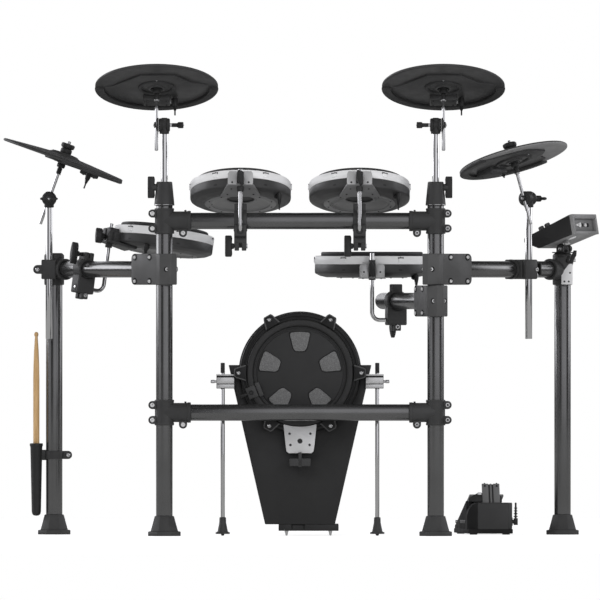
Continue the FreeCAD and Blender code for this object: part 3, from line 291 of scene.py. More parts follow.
def bentRod(radius, first, second, bend, steps=24):  # up for first, round the bend, then along +y
    shape = bmesh.new()
    ring = bmesh.ops.create_circle(shape, segments=steps, radius=radius)["verts"]
    edges = list({edge for corner in ring for edge in corner.link_edges})

    def grow(edges, way):
        geom = bmesh.ops.extrude_edge_only(shape, edges=edges)["geom"]
        corners = {item for item in geom if isinstance(item, bmesh.types.BMVert)}
        bmesh.ops.translate(shape, vec=way, verts=list(corners))
        return [item for item in geom if isinstance(item, bmesh.types.BMEdge) and set(item.verts) <= corners]

    edges = grow(edges, (0, 0, first))
    turned = bmesh.ops.spin(shape, geom=edges, cent=(0, bend, first), axis=(1, 0, 0), angle=-math.pi / 2, steps=8)
    edges = [item for item in turned["geom_last"] if isinstance(item, bmesh.types.BMEdge)]
    grow(edges, (0, second, 0))
    bmesh.ops.holes_fill(shape, edges=[e for e in shape.edges if e.is_boundary], sides=0)
    bmesh.ops.recalc_face_normals(shape, faces=shape.faces)
    return soften(shape, 0.8, 2, 60)


class Piece:
    def __init__(self, name):
        self.node = name  # the solid that this skin stands in for
        self.shape = bmesh.new()
        self.finishes = []

    def add(self, part, finish, place=Matrix()):
        if finish not in self.finishes:
            self.finishes.append(finish)
        for face in part.faces:
            face.material_index = self.finishes.index(finish)
            face.smooth = True
        part.transform(place)
        loose = bpy.data.meshes.new("loose")
        part.to_mesh(loose)
        part.free()
        self.shape.from_mesh(loose)
        bpy.data.meshes.remove(loose)

    def onto(self, place):  # gives a way to add parts in one place, each with its own further moves
        def put(part, finish, *moves):
            spot = place
            for move in moves:
                spot = spot @ move
            self.add(part, finish, spot)

        return put

    def done(self, body, slot):
        self.shape.transform(Matrix.Scale(0.001, 4) @ middle)
        mesh = bpy.data.meshes.new(self.node + "_skin")
        self.shape.to_mesh(mesh)
        self.shape.free()
        mesh.set_sharp_from_angle(angle=math.radians(32))  # machined edges stay crisp
        for finish in self.finishes:
            mesh.materials.append(finish)
        thing = bpy.data.objects.new(self.node + "_skin", mesh)
        scene.collection.objects.link(thing)
        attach(thing, body)
        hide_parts(self.node)


def capHead(radius=5.2, high=4.5):
    return lathe([(0, 0), (radius, 0), (radius, high * 0.6), (radius - 1.4, high), (radius * 0.52, high),
                  (radius * 0.46, high * 0.35), (0, high * 0.35)], 24, 0.35)


def hexNut(radius=5.6, high=4.5, hole=2.6):
    return lathe([(hole, 0), (radius, 0), (radius, high), (hole, high)], 6, 0.5)


def handle(piece, place, stem, tall=1.0):  # bar along z, stem along +x
    rows = [(-25, -7, 6, 2.2), (-23.6, -8.2, 7.2, 3.2), (-18, -8.5, 8.4, 5), (-9, -8.5, 7.8, 6.9), (0, -8.5, 7.2, 7.8)]
    rings = []
    for z, back, front, deep in rows + [(-row[0], *row[1:]) for row in rows[-2::-1]]:
        ring = []
        for i in range(24):
            across, away = math.cos(math.tau * i / 24), math.sin(math.tau * i / 24)
            ring.append(((back + front) / 2 + (front - back) / 2 * math.copysign(abs(across) ** 0.4, across),
                         deep * math.copysign(abs(away) ** 0.6, away), z * tall))
        rings.append(ring)
    piece.add(loft(rings), gripBlack, place)
    piece.add(lathe([(0, 0), (7.5, 0), (6.4, 4), (6, 6), (0, 6)], 32, 0.5), gripBlack, place @ at(6.5) @ alongX)
    piece.add(rod(4, stem - 4, 0.4, 24), darkSteel, place @ at(4) @ alongX)


def wingKnob(piece, place, stem):  # wings along y, stem along +x
    put = piece.onto(place)
    wing = [(-20.5, -1.8), (-16, -3.6), (-8, -3.2), (0, -3.6), (8, -3.2), (16, -3.6), (20.5, -1.8)]
    put(slab(wing + [(-x, -y) for x, y in wing], 9, 1.4, 0.8, 0.5, 3), gripBlack, alongX, tip(90, "Z"))
    put(lathe([(0, 0), (6, 0), (7.2, 1.2), (7.2, 12), (5.4, 13.4), (4.6, 15), (4.6, 27), (0, 27)], 32, 0.5), gripBlack, alongX)
    for i in range(6):
        put(block((7, -1.1, 1.4), (7.5, 1.1, 12), 0.2), gripBlack, alongX, at(turn=30 + 60 * i))
    put(rod(4, stem - 20, 0.4, 24), chrome, at(20), alongX)
    put(capHead(2.6, 1.4), boltSteel, at(0.4), tip(-90, "Y"))


def plugBoot(piece, place, thin, spans, fat=5.5):  # ribbed strain relief hanging along z
    put = piece.onto(place)
    put(lathe([(0, spans[0]), (thin, spans[0]), (thin, spans[1]), (0, spans[1])], 20, 0.3), gripBlack)
    count = 5
    for i in range(count):
        low = spans[1] - 1 + (spans[2] - spans[1]) * i / count
        wide = 3 + (fat - 2.2) * 0.1 * i
        put(rod(wide, 1.2, 0.4, 24, low), gripBlack)
        put(rod(wide - 1, 2.4, 0, 20, low), gripBlack)
    put(lathe([(0, spans[2] - 1), (fat * 0.78, spans[2] - 1), (fat, spans[2] + 8), (fat, spans[3] - 1), (fat - 1, spans[3]),
               (0, spans[3])], 28, 0.7), gripBlack)


# Front frame
rackSpec = {"outer": 19, "inner": 17.4, "postX": 312, "postLong": 756, "lift": 4, "barLong": 584, "bars": (724.5, 284)}
postX = rackSpec["postX"]


def rackTube(piece, long, place):
    piece.add(tube(rackSpec["outer"], rackSpec["inner"], long), charcoal, place)


posts = Piece("front_posts")
bars = Piece("crossbars")
for sign in (-1, 1):
    rackTube(posts, rackSpec["postLong"], at(sign * postX, 0, rackSpec["lift"]))
for height in rackSpec["bars"]:
    rackTube(bars, rackSpec["barLong"], at(-rackSpec["barLong"] / 2, 0, height) @ alongX)
posts.done("rack", "tube_metal")
bars.done("rack", "tube_metal")


def octFoot(piece, place):
    footSpec = {"ring": [(19.1, 4), (19.1, 46), (22, 46), (31.5, 11), (37.5, 10), (37.5, 0), (12, 0), (12, 4)]}
    wide = 1 / math.cos(math.pi / 8)
    shape = lathe([(r * wide, z) for r, z in footSpec["ring"]], 8, 0)
    piece.add(soften(shape, 1.1, 2, 25), footRubber, place @ at(turn=22.5))


feet = Piece("front_feet")
for sign in (-1, 1):
    octFoot(feet, at(sign * postX))
feet.done("rack", "foot_rubber")

teeSpec = {"collar": 21.8, "half": 29.5, "reach": 61, "earRadius": 9.4, "earHalf": 11,
           "ears": [(-27.5, 17.2), (-27.5, -17.2), (43, -27.7)]}


def earOutline(radius, reach):  # rounded end at the origin, web running to +x
    return arc(radius, 90, 270, 13) + [(reach, -radius), (reach, radius)]


def tee(castings, bolts, place):
    half, wide, reach = (teeSpec[key] for key in ("half", "collar", "reach"))
    castings.add(lathe([(19.1, -half), (wide, -half), (wide + 1, 3 - half), (wide, 6 - half), (wide, half - 6),
                        (wide + 1, half - 3), (wide, half), (19.1, half)], 48, 0.8), blackNylon, place)
    castings.add(lathe([(0, 0), (22.2, 0), (22.2, reach - 9), (23.5, reach - 7.5), (23.5, reach - 1), (22.5, reach),
                        (19.1, reach), (19.1, 20), (0, 20)], 48, 0.7), blackNylon, place @ alongX)
    castings.add(block((reach - 15, -3, 15), (reach - 10, 3, 25.5), 1), blackNylon, place)
    for index, (along, up) in enumerate(teeSpec["ears"]):
        for low in (-teeSpec["earHalf"], 1.2):
            cheek = slab(earOutline(teeSpec["earRadius"], 16), 9.8, 1.4, 0, low)
            turn = tip(90) if index < 2 else tip(90) @ at(turn=90)
            castings.add(cheek, blackNylon, place @ at(along, 0, up) @ turn)
        bolts.add(rod(3, 22, 0, 20), boltSteel, place @ at(along, -11, up) @ alongY)
        bolts.add(capHead(), plateSteel, place @ at(along, -11, up) @ tip(90))
        bolts.add(hexNut(), boltSteel, place @ at(along, 11, up) @ alongY)


castings = Piece("tee_clamps")
teeBolts = Piece("tee_clamp_bolts")
for sign in (-1, 1):
    for height in rackSpec["bars"]:
        tee(castings, teeBolts, at(sign * postX, 0, height, 0 if sign < 0 else 180))
castings.done("rack", "black_plastic")
teeBolts.done("rack", "dark_steel")

sleeves = Piece("mast_sleeves")
for sign in (-1, 1):
    seat = at(sign * postX, 0, rackSpec["lift"] + rackSpec["postLong"], 0 if sign < 0 else 180)
    sleeves.add(lathe([(8.1, -35), (17.3, -35), (17.3, 0), (23, 0), (23, 4), (18.3, 53), (16.6, 55), (8.1, 55)], 48, 0.9),
                blackNylon, seat)
    sleeves.add(lathe([(21, 1.4), (23.35, 1.4), (23.3, 2.6), (21, 2.6)], 48, 0.3), boltSteel, seat)
    sleeves.add(lathe([(0, -17), (8, -17), (8, -29), (0, -29)], 28, 0.8), blackNylon, seat @ at(0, 0, 42) @ alongX)
    handle(sleeves, seat @ at(-30, 0, 42), 21.7)
sleeves.done("rack", "black_plastic")

# Side arms
armSpec = {"z": 613.6, "snareZ": 540.5, "leftTurn": 124, "rightTurn": 50, "snareTurn": 105, "long": 460, "start": 20, "tube": 420,
           "leg": 639.6, "snareTube": 440}
armZ = armSpec["z"]
leftFrame, rightFrame = at(-postX, 0, armZ, armSpec["leftTurn"]), at(postX, 0, armZ, armSpec["rightTurn"])
snareFrame = at(postX, 0, armSpec["snareZ"], armSpec["snareTurn"])
leftLeg, rightLeg = leftFrame @ Vector((armSpec["long"], 0, 0)), rightFrame @ Vector((armSpec["long"], 0, 0))
clampSpec = {"long": 102, "half": 24, "back": 38, "high": 71.7, "round": 12,
             "screws": [(25, 27.6), (25, -27.6), (86, 27.6), (86, -27.6)]}


def armClamp(arm, place):
    piece = Piece(arm + "_clamp")
    put = piece.onto(place)
    long, half, high, back = (clampSpec[key] for key in ("long", "half", "high", "back"))
    collar = [(13, -half), (13, half), (-16, half), (-back, 8), (-back, -8), (-16, -half)]
    put(slab(collar, high, 2.6, 0, -high / 2, 3), clampGrey)
    jaw = [(-4, -high / 2), (long, -high / 2), (long, high / 2), (-4, high / 2)]
    for low, thick in ((-half - 0.06, half - 1), (1.06, half - 1)):  # two halves with a parting line
        put(slab(jaw, thick, 1.6, clampSpec["round"], -low - thick, 3), clampGrey, tip(90))
    put(block((12, -half * 0.9, 4 - high / 2), (100, half * 0.9, high / 2 - 4), 1), clampGrey)
    # near-black cups round each screw: painted shade in the screw pockets
    for along, up in clampSpec["screws"]:
        for side, turn in ((-half, tip(90)), (half, alongY)):
            put(lathe([(0, -3), (7.4, -3), (7.4, 0.9), (5.6, 0.9), (5.4, -0.6), (0, -0.6)], 28, 0.3), screwPocketShade,
                at(along, side, up), turn)
            put(capHead(4, 4.2), plateSteel, at(along, side * 0.985, up), turn)
    # near-black cups here too: painted shade in the screw pockets
    for turn in (157, -157):
        put(lathe([(0, -4), (6.4, -4), (6.4, 0.8), (4.8, 0.8), (4.6, -1), (0, -1)], 28, 0.3), screwPocketShade, at(turn=turn), at(32.6),
            alongX)
        put(capHead(4, 3), plateSteel, at(turn=turn), at(31.4), alongX)
    piece.done(arm, "black_plastic")


armClamp("left_arm", leftFrame)
armClamp("right_arm", rightFrame)
armClamp("snare_arm", snareFrame)

for side, place, leg in (("left", leftFrame, leftLeg), ("right", rightFrame, rightLeg)):
    arms = Piece(side + "_arm_tubes")
    rackTube(arms, armSpec["tube"], place @ at(armSpec["start"]) @ alongX)
    rackTube(arms, armSpec["leg"], at(leg.x, leg.y, rackSpec["lift"]))
    arms.done(side + "_arm", "tube_metal")
    stand = Piece(side + "_leg_foot")
    octFoot(stand, at(leg.x, leg.y))
    stand.done(side + "_arm", "foot_rubber")

snareArm = Piece("snare_arm_tube")
rackTube(snareArm, armSpec["snareTube"], snareFrame @ at(armSpec["start"]) @ alongX)
snareArm.add(lathe([(0, -12), (17.3, -12), (17.3, 0), (19, 0), (19, 2), (14, 8), (0, 11)], 48, 0.6), blackNylon,
             snareFrame @ at(armSpec["long"]) @ alongX)
snareArm.done("snare_arm", "tube_metal")


def legTee(piece, place, yaw):
    piece.add(lathe([(0, 30), (19.1, 30), (19.1, -36), (22, -36), (23, -34), (23, 33), (18, 38), (0, 38)], 48, 1.2), blackNylon,
              place)
    piece.add(lathe([(0, 0), (23.6, 0), (23.6, 41), (24.6, 43), (24.6, 49), (23.8, 50), (19.1, 50), (19.1, 22),
                     (0, 22)], 48, 0.7), blackNylon, place @ at(turn=yaw) @ alongX)


leftTee = Piece("left_leg_tee")
place = at(leftLeg.x, leftLeg.y, armZ)
legTee(leftTee, place, armSpec["leftTurn"] + 180)
put = leftTee.onto(place)
for low, high in ((-45, -34.2), (-31.8, -8)):  # split block round the mast
    put(block((-29.4, low, -22.6), (4.6, high, 22.6), 3, 3), blackNylon)
put(block((-26, -40, -20), (2, -20, 20), 1), blackNylon)
for low in (-44, -31.8):
    put(slab(earOutline(10.4, 14), 9.8, 1.4, 0, 0), blackNylon, at(-38, low + 9.8, 0), tip(90))
put(capHead(), boltSteel, at(-38, -44, 0), tip(90))
put(hexNut(), boltSteel, at(-38, -22, 0), alongY)
leftTee.done("left_arm", "black_plastic")
rightTee = Piece("right_leg_tee")
legTee(rightTee, at(rightLeg.x, rightLeg.y, armZ), armSpec["rightTurn"] + 180)
put = rightTee.onto(at(rightLeg.x, rightLeg.y - 24, armZ))
clampSide = [(-36, -14), (-20, -24), (6, -20), (22, 8), (8, 32), (-18, 26)]  # clamp body, its plate and its wing screw
put(slab(clampSide, 20, 2.4, 0, -12, 3), blackNylon, tip(90))
put(slab([(-3, -35), (23, -35), (23, 13), (15, 13), (-3, -10)], 3, 0.7, 1.5, 6), plateSteel, tip(90))
for across, up in ((4, -28), (14, -28), (17, -8)):
    put(rod(2.2, 0.4, 0.1, 20), gripBlack, at(across, -9, up), tip(90))
put(rod(4, 26, 0.4, 24), chrome, at(4, -4, 21), alongX)
put(lathe([(0, 0), (8, 0), (8, 5), (5, 9), (0, 9)], 28, 0.6), gripBlack, at(16, -4, 21), tip(-90, "Y"))
put(slab([(-4, -21), (3, -23), (6, -12), (4, 0), (6, 12), (3, 23), (-4, 21), (-5, 0)], 9, 1.6, 1, -4.5, 3), gripBlack,
    at(22, -4, 23), tip(20, "Y"), tip(90))
rightTee.done("right_arm", "black_plastic")

hatClamp = Piece("hihat_rod_clamp")
put = hatClamp.onto(rightFrame)
for low, high in ((-42.5, -32.2), (-29.8, 23)):
    put(block((276, low, -22.6), (319, high, 22.6), 3.4, 3), blackNylon)
put(block((279, -38, -20), (300, -20, 20), 1), blackNylon)
for side in (270, 317):
    put(tube(23, 19.2, 6, 0.6, 40), blackNylon, at(side), alongX)
put(capHead(4.6, 3), boltSteel, at(313, -42.3, 0), tip(90))
put = hatClamp.onto(rightFrame @ at(318, -31, 0))  # clamp bolt with its square nut and sprung washer
put(rod(3, 20, 0.3, 20), chrome, alongX)
put(tube(7.5, 3, 3, 0.6, 28, 2), chrome, alongX)
put(lathe([(3, 7), (6.2, 7), (7.2, 9), (6.2, 11), (3, 11)], 28, 0.6), chrome, alongX)
put(block((12, -9, -14), (18, 9, 14), 1.6), darkSteel)
put(block((4, -5, -18), (12, 5, -9), 1.2), boltSteel)
hatClamp.done("right_arm", "black_plastic")

# Stick cup and stick
cupSpec = {"off": 41.4, "z": 211, "strapZ": -27, "stickZ": 63}
holder = Piece("stick_holder")
place = at(leftLeg.x, leftLeg.y, cupSpec["z"])
holder.add(lathe([(0, -168), (6, -167), (9.4, -164), (10.8, -158), (13.9, -8), (15.2, -6), (15.2, -1), (14.4, 0), (12.5, 0),
                  (8.8, -148.3), (0, -148.3)], 48, 0.6), gripBlack, place @ at(-cupSpec["off"]))
holder.add(tube(22.4, 19.1, 19, 0.9, 48, -36.5), blackNylon, place)
strap = place @ at(0, 0, cupSpec["strapZ"])
for low in (-7, 1.2):
    holder.add(slab([(x + 32, y) for x, y in earOutline(9.5, 14)], 5.8, 1, 0, low), blackNylon,
               strap @ tip(90) @ at(64) @ Matrix.Diagonal((-1, -1, 1, 1)))
holder.add(block((-30, -6, -39), (-17, 6, -15), 2), blackNylon, place)
holder.add(capHead(), boltSteel, strap @ at(32, -7) @ tip(90))
holder.add(hexNut(), boltSteel, strap @ at(32, 7) @ alongY)
holder.done("left_arm", "black_plastic")
stick = Piece("drumstick")
stick.add(lathe([(0, 0), (5.6, 0), (7.2, 2.4), (7.2, 296), (6.6, 330), (5.4, 362), (3.6, 390), (3.2, 394), (4.2, 396.5),
                 (5, 399.5), (4.6, 402.5), (3.2, 405), (0, 406)], 36, 0.5), hickory,
          at(leftLeg.x - cupSpec["off"], leftLeg.y, cupSpec["stickZ"]))
stick.done("drumstick", "hickory")
print("frame, arms and holder done")


# Cymbals
def cymbalPad(piece, place, wide, under, boot):
    put = piece.onto(place)
    edge = wide / 2
    put(lathe([(5.5, -4), (18, -4), (20, -3.2), (22, 2), (34, 2), (36, -2), (40, -2), (42, 3.4), (60, 3.5), (edge - 20, -1),
               (edge - 4, -3), (edge, -1.5), (edge, 0.5), (edge - 20, 3), (60, 7.5), (34, 9), (28, 13), (5.5, 13)], 96, 0.8),
        under)
    skin = [(5.5, 12.6), (28, 12.6), (34, 8.6), (60, 7.1), (edge - 20, 2.6), (edge - 0.3, 0.2), (edge, 1.6), (edge - 2, 3.4)]
    grooves = 11
    for i in range(grooves + 1):  # shallow playing grooves on the bow
        share = i / grooves
        radius = (edge - 9) * (1 - share) + 62 * share
        height = 4.4 * (1 - share) + 10.3 * share
        skin += [(radius + 1.2, height), (radius, height - 0.35), (radius - 1.2, height + 0.1)]
    skin += [(38, 11.9), (34, 13.2), (30, 16), (18, 17.2), (5.5, 16.6)]
    put(lathe(skin, 96, 0), padRubber)
    put(lathe([(edge - 20, -1), (edge - 4, -3), (edge, -1.5), (edge + 1, -5.5), (edge - 4, -8),
               (edge - 20, -7)], 64, 0.8, 2, 180), padRubber)
    share = edge / 141.5  # stiffening plate underneath
    plate = [(-101, -6), (-69, -39), (-38, -73), (42, -73), (80, -28), (117, -17)] + arc(118, 0, 180, 19)
    put(slab([(x * share, y * share) for x, y in plate], 5.8, 1.2, 0, -2.2), shellBlack)
    put(lathe([(33, 0), (35, -5.6), (37, -6.6), (41, -6.6), (42.6, -5.6), (43, 0)], 64, 0.6), padRubber)  # hub ring
    put(lathe([(5.5, -4), (13, -4), (14, -7.4), (19, -7.4), (20, -4), (31, -3), (31, -2), (5.5, -2)], 64, 0.6), shellBlack)
    put(tube(12.6, 9, 4.6, 0.4, 6, -8.6), darkSteel)
    put(block((-31, 46, -15), (31, 90, 2), 2.5, 3), shellBlack)
    put(block((-29, 49, -15.6), (29, 87, -12), 1.2), padRubber)
    for across in (-23, 23):
        for along in (55, 81):
            put(capHead(2.2, 1.4), darkSteel, at(across, along, -15.4), tip(180))
    for across, along in ((38, -8), (-38, -8), (0, -44)):
        put(capHead(2.2, 1.6), boltSteel, at(across * 1.05, along, -2), tip(180))
    put(tube(7, 3.6, 2.6, 0.3, 6), boltSteel, at(30.6, 68, -10), alongX)
    plugBoot(piece, place @ at(42, 68, -3.5), 1.8, boot, 6.6)
    put(rod(3.6, 10, 0.4, 24), gripBlack, at(31, 68, -10), alongX)


def cymbal(label, wide, where, mastLong, turn, tilt, azimuth, under=shellBlack, boot=(-42, -29, -20, 0)):
    base = at(*where, turn)
    mast = Piece(label + "_mast")
    put = mast.onto(base)
    put(tube(8, 6.6, mastLong), chrome, at(0, 0, -12 - mastLong))
    put(lathe([(0, -13), (14, -13), (15.6, -11.6), (15.6, -6), (13, -4.6), (13, 4.6), (15.6, 6), (15.6, 11), (13, 13),
               (0, 13)], 48, 0.8), gripBlack, alongX)
    put(lathe([(8.1, -20), (10.4, -20), (11, -19), (11, -5), (8.1, -5)], 40, 0.7), gripBlack)
    put(lathe([(0, -6), (10.8, -6), (10.4, 12), (8.4, 15.6), (5, 17), (0, 17)], 40, 0.7), gripBlack)
    wingKnob(mast, base @ at(44, 0, 0, 180), 50)
    mast.done(label + "_mast", "chrome")
    tilted = base @ tip(tilt)
    stem = Piece(label + "_rod")
    put = stem.onto(tilted)
    put(rod(4, 95 + 62 + 46, 0.8, 32), chrome, at(-18, 0, -62))
    for i in range(16):  # threaded stretch above the nut
        put(lathe([(3.2, 0), (4.15, 0.5), (3.2, 1.0)], 20, 0), chrome, at(-18, 0, 131 + 0.6 * i))
    put(lathe([(0, -6.6), (9, -6.6), (12, -5), (16.4, -3.6), (17, -3), (17, -0.6), (16.4, 0), (0, 0)], 44, 0.5), gripBlack,
        at(-13.4), alongX)
    put(lathe([(0, -10), (6.6, -10), (7.4, -9), (7.4, -4), (0, -4)], 32, 0.5), darkSteel, at(-13.4), alongX)
    put(lathe([(0, 0), (3.6, 0), (3.4, 2.4), (2, 3), (0, 3)], 24, 0.2), boltSteel, at(-22.6), tip(-90, "Y"))
    put(lathe([(4.1, 76.55), (7.6, 76.55), (9.4, 78.4), (9.8, 84.4), (9, 84.8), (9, 89.2), (5, 90.4), (4.1, 90.4)], 40, 0.5),
        gripBlack, at(-18))
    put(tube(6.4, 4.1, 2, 0.2, 40, 60), boltSteel, at(-18))
    put(lathe([(4.1, 62), (5.6, 62), (5.8, 75), (4.1, 76.5)], 32, 0.3), gripBlack, at(-18))
    put(lathe([(4.1, 112.2), (12.6, 112.2), (13.4, 113), (13.4, 121), (11.4, 122), (11.4, 123.6), (15, 124.6), (15.4, 133),
               (13.6, 135), (4.1, 135)], 40, 0.7), gripBlack, at(-18))
    for i in range(8):  # finger grooves of the top nut
        put(block((15, -3, 126.5), (15.9, 3, 133.5), 0.3), padRubber, at(-18, 0, 0, 45 * i))
    stem.done(label + "_rod", "chrome")
    pad = Piece(label + "_pad")
    cymbalPad(pad, tilted @ at(-18, 0, 95, azimuth), wide, under, boot)
    pad.done(label + "_pad", "pad_rubber")


boomSpec = {"crash": 283, "ride": 292, "hihat": 257, "crashZ": 945, "crashMast": 390, "standZ": 777, "standMast": 312}
crashZ, crashMast, standZ, standMast = (boomSpec[key] for key in ("crashZ", "crashMast", "standZ", "standMast"))
hatAt = rightFrame @ Vector((299, -31, 0))
cymbal("crash_left", boomSpec["crash"], (-postX, 0, crashZ), crashMast, 0, -20, 0)
cymbal("crash_right", boomSpec["crash"], (postX, 0, crashZ), crashMast, 180, 20, 180)
cymbal("ride", boomSpec["ride"], (leftLeg.x - 11.4, leftLeg.y - 33, standZ), standMast, -90, -19.6, 0)
cymbal("hihat", boomSpec["hihat"], (hatAt.x, hatAt.y, standZ), standMast, 53, -18.5, 0, moduleGrey, (-18, -14, -10, 0))
print("cymbals done")


# Drum pads
def railMount(name, place, drop, front, rise, side):
    piece = Piece(name)
    put = piece.onto(place)
    half = 14.5
    put(lathe([(19.1, -half), (25, -half), (25, half), (19.1, half)], 48, 1.2), blackNylon, alongX)
    for low, high in ((-half, -1.5), (1.5, half)):
        lows, highs = ((low, -12), (high, 12)) if side else ((-half, low * 0.83), (half, high * 0.83))
        put(block((*lows, 20), (*highs, 39), 2.6, 3), blackNylon)
    put(block((-12, -11, 20), (12, 11, 27), 1), blackNylon)
    put(block((-half, -23, -drop - 12), (half, 23, -14), 3, 3), blackNylon)
    for along in (-23.4, 22.4):
        put(tube(8, 5, 1.4, 0.4, 28), darkSteel, at(0, along, -drop), alongY)
    for sign, turn in ((-1, tip(-90, "Y")), (1, alongX)):
        put(capHead(2.6, 1.4), darkSteel, at(sign * (half - 0.2), 15, -18), turn)
    put(block((-half, -10, -55), (half, 10, -drop - 8), 2.2, 3), blackNylon)
    for low, high in ((-13.6, -3), (3, 13.6)):
        put(block((low, -9, -69), (high, 9, -50), 1.8, 3), blackNylon)
    bend = 18
    riser = bentRod(4.75, drop - bend + rise, front - bend + 23, bend)
    put(riser, chrome, at(0, -front, rise), tip(180, "Y"))
    if side:
        handle(piece, place @ at(27 * side, 0, -60, 0 if side < 0 else 180), 35.5)
        put(hexNut(5.6, 3), boltSteel, at(13.4, 0, -60), alongX)
        put(rod(2.6, 8, 0, 20), boltSteel, at(-4, 0, -60), alongX)
    else:
        handle(piece, place @ at(0, 35, 33, -90), 45)
        put(capHead(), boltSteel, at(-13.4, 0, -60), tip(-90, "Y"))
        put(hexNut(), boltSteel, at(13.4, 0, -60), alongX)
    piece.done(name, "black_plastic")


def drumPad(label, wide, place, plate, flare):
    edge = wide / 2
    hub = place @ at(0, edge + 14, 0)
    shell = Piece(label + "_shell")
    onShell, onPlate = shell.onto(hub), shell.onto(place)
    onShell(lathe([(33, 10), (78, 3), (82, 0), (edge - 27, 0), (edge - 12, 3.4), (edge - 1, 9), (edge, 12), (edge, 30),
                   (edge - 4, 30), (edge - 4, 17), (edge - 26, 13), (33, 13)], 96, 1.0), shellBlack)
    onShell(lathe([(0, 13), (46, 13), (46, 15), (16, 15), (6, 49), (0, 49)], 48, 0.6), hoopBlack)
    onShell(lathe([(31, 12.6), (32, 9.6), (35, 8.6), (37, 8.8), (37, 12.6)], 72, 0.6), midCast)
    onShell(lathe([(37, 8.8), (42, 8.4), (62, 3.6), (66.6, 0.8), (68, 0.8), (68, 6), (37, 10)], 72, 0.6),
            dishGrey)  # polished dish
    onShell(lathe([(67.4, 4), (68, -0.8), (69, -1.4), (81, -1.4), (82.4, -0.6), (83, 2)], 96, 0.5), midCast)  # screwed flange
    for i in range(10):
        onShell(capHead(2, 1.4), darkSteel, at(turn=36 * i + 18), at(75, 0, -1.2), tip(180, "Y"))
    for spin in (-120, -60, 0, 60, 120, 180):  # drain slots near the edge, drawn as black patches: painted shade of the openings
        onShell(block((edge - 1.2, -4, 15), (edge + 0.15, 4, 18.6), 0.1), gripBlack, at(turn=spin))
    low, top, front, back = flare["low"], flare["top"], -9.9, 54
    for sign in (-1, 1):  # bracket plates either side of the grip
        cheek = [(sign * x, z) for x, z in ((8, low), (29, low), (29, top - 6), (25.5, top), (8, top))]
        onPlate(slab(cheek, 12, 1.4, 0, -2), plate[0], tip(90))
        onPlate(capHead(2.2, 1.2), darkSteel, at(sign * 19, -10, 12), tip(90))
    onPlate(block((-29, -4, low), (29, 18, 30), 1.2), plate[1])
    onPlate(block((-27, -4, 28), (27, 12.4, top - 1), 1.2), plate[1])
    ends = ((29, front, low - 1), (flare["half"], back, flare["back"]))
    wedge = [[(-half, y, z), (half, y, z), (half, y, z + 5), (-half, y, z + 5)] for half, y, z in ends]
    onPlate(soften(loft(wedge), 0.8), plate[1])
    onPlate(tube(8, 4.9, 46.4, 0.6, 36, -6.4), darkCastAndShade)
    for sign in (-1, 1):
        for along in (10, 40):
            under = low - 1 + (along - front) * (flare["back"] - low + 1) / (back - front)  # the wedge's sloping underside
            onPlate(capHead(2.2, 1.2), darkSteel, at(sign * (18 + along * 0.3), along, under), tip(180))
    handle(shell, place @ at(0, -26, 18, 90) @ tip(-12), 20.9, 0.7)
    reach, spin = edge - 4, math.radians(-37)
    jack = place @ at(0, edge + 14, 3) @ at(reach * math.cos(spin), reach * math.sin(spin), 5.5, 53)
    plugBoot(shell, jack, 1.8, (-42, -28, -18, -2))
    shell.add(rod(4.4, 13, 0.6, 24), gripBlack, jack @ at(0, -1, -9) @ alongY)
    shell.add(tube(6.4, 3, 2, 0.3, 6), darkSteel, jack @ at(0, 6, -9) @ alongY)
    shell.done(label + "_drum", "shell_plastic")
    head = Piece(label + "_head")
    put = head.onto(hub)
    put(lathe([(edge - 7, 30), (edge, 30), (edge + 0.6, 31), (edge + 0.5, 40), (edge - 0.5, 49), (edge - 19, 49), (edge - 19, 45),
               (edge - 7, 45)], 96, 0.7), hoopWhite)
    for i in range(6):
        put(block((edge - 3, -6, 34), (edge + 2.4, 6, 44), 1.6), hoopWhite, at(turn=60 * i))
        put(block((edge - 1, -7.4, 43), (edge + 1.8, 7.4, 46), 0.8), darkSteel, at(turn=60 * i))
        put(capHead(2.4, 2), boltSteel, at(turn=60 * i), at(edge - 0.4, 0, 45.4))
    put(lathe([(0, 49), (edge - 15, 49), (edge - 15, 50), (0, 50.6)], 96, 0.2), meshHead)
    put(lathe([(edge - 27, 50), (edge - 14.5, 50), (edge - 14.5, 57), (edge - 17, 59), (edge - 24, 59),
               (edge - 27, 56)], 96, 1.2), padRubber)
    put(lathe([(edge - 20, 47.6), (edge - 2, 47.6), (edge - 0.6, 48.6), (edge - 2, 49.6), (edge - 20, 50.2)], 96, 0.4), padRubber)
    head.done(label + "_drum", "hoop_white")


drumSpec = {"tom": 232, "snare": 265, "tomX": 137, "tomTilt": -15.5, "floorAlong": 331, "floorTilt": 8.5, "snareAlong": 348}
tomPlate = {"low": 6, "half": 47, "back": -5, "top": 39}  # bracket plate under the shell
snarePlate = {"low": -2.4, "half": 29, "back": -2.4, "top": 30}
for side, sign in (("left", -1), ("right", 1)):
    label = "tom_" + side
    place = at(sign * drumSpec["tomX"], 0, rackSpec["bars"][0]) @ tip(drumSpec["tomTilt"])
    railMount(label + "_mount", place, 30, 31, 115, -1)
    drumPad(label, drumSpec["tom"], place @ at(0, -31, 69), (castGrey, midCast), tomPlate)
floorRail = leftFrame @ at(drumSpec["floorAlong"]) @ tip(drumSpec["floorTilt"])
railMount("floor_tom_mount", floorRail, 44, 57, 116, 0)
# the floor tom's bracket gets the dark cast finish on both parts: painted shade, as that bracket sits in shadow
drumPad("floor_tom", drumSpec["tom"], floorRail @ at(0, -57, 66, 164), (darkCastAndShade, darkCastAndShade), tomPlate)
snareRail = snareFrame @ at(drumSpec["snareAlong"], 0, 0, 180)
railMount("snare_mount", snareRail, 44, 57, 111, -1)
drumPad("snare", drumSpec["snare"], snareRail @ at(0, -57, 55, 75), (paleCastAndHighlight, midCast), snarePlate)
print("drums done")

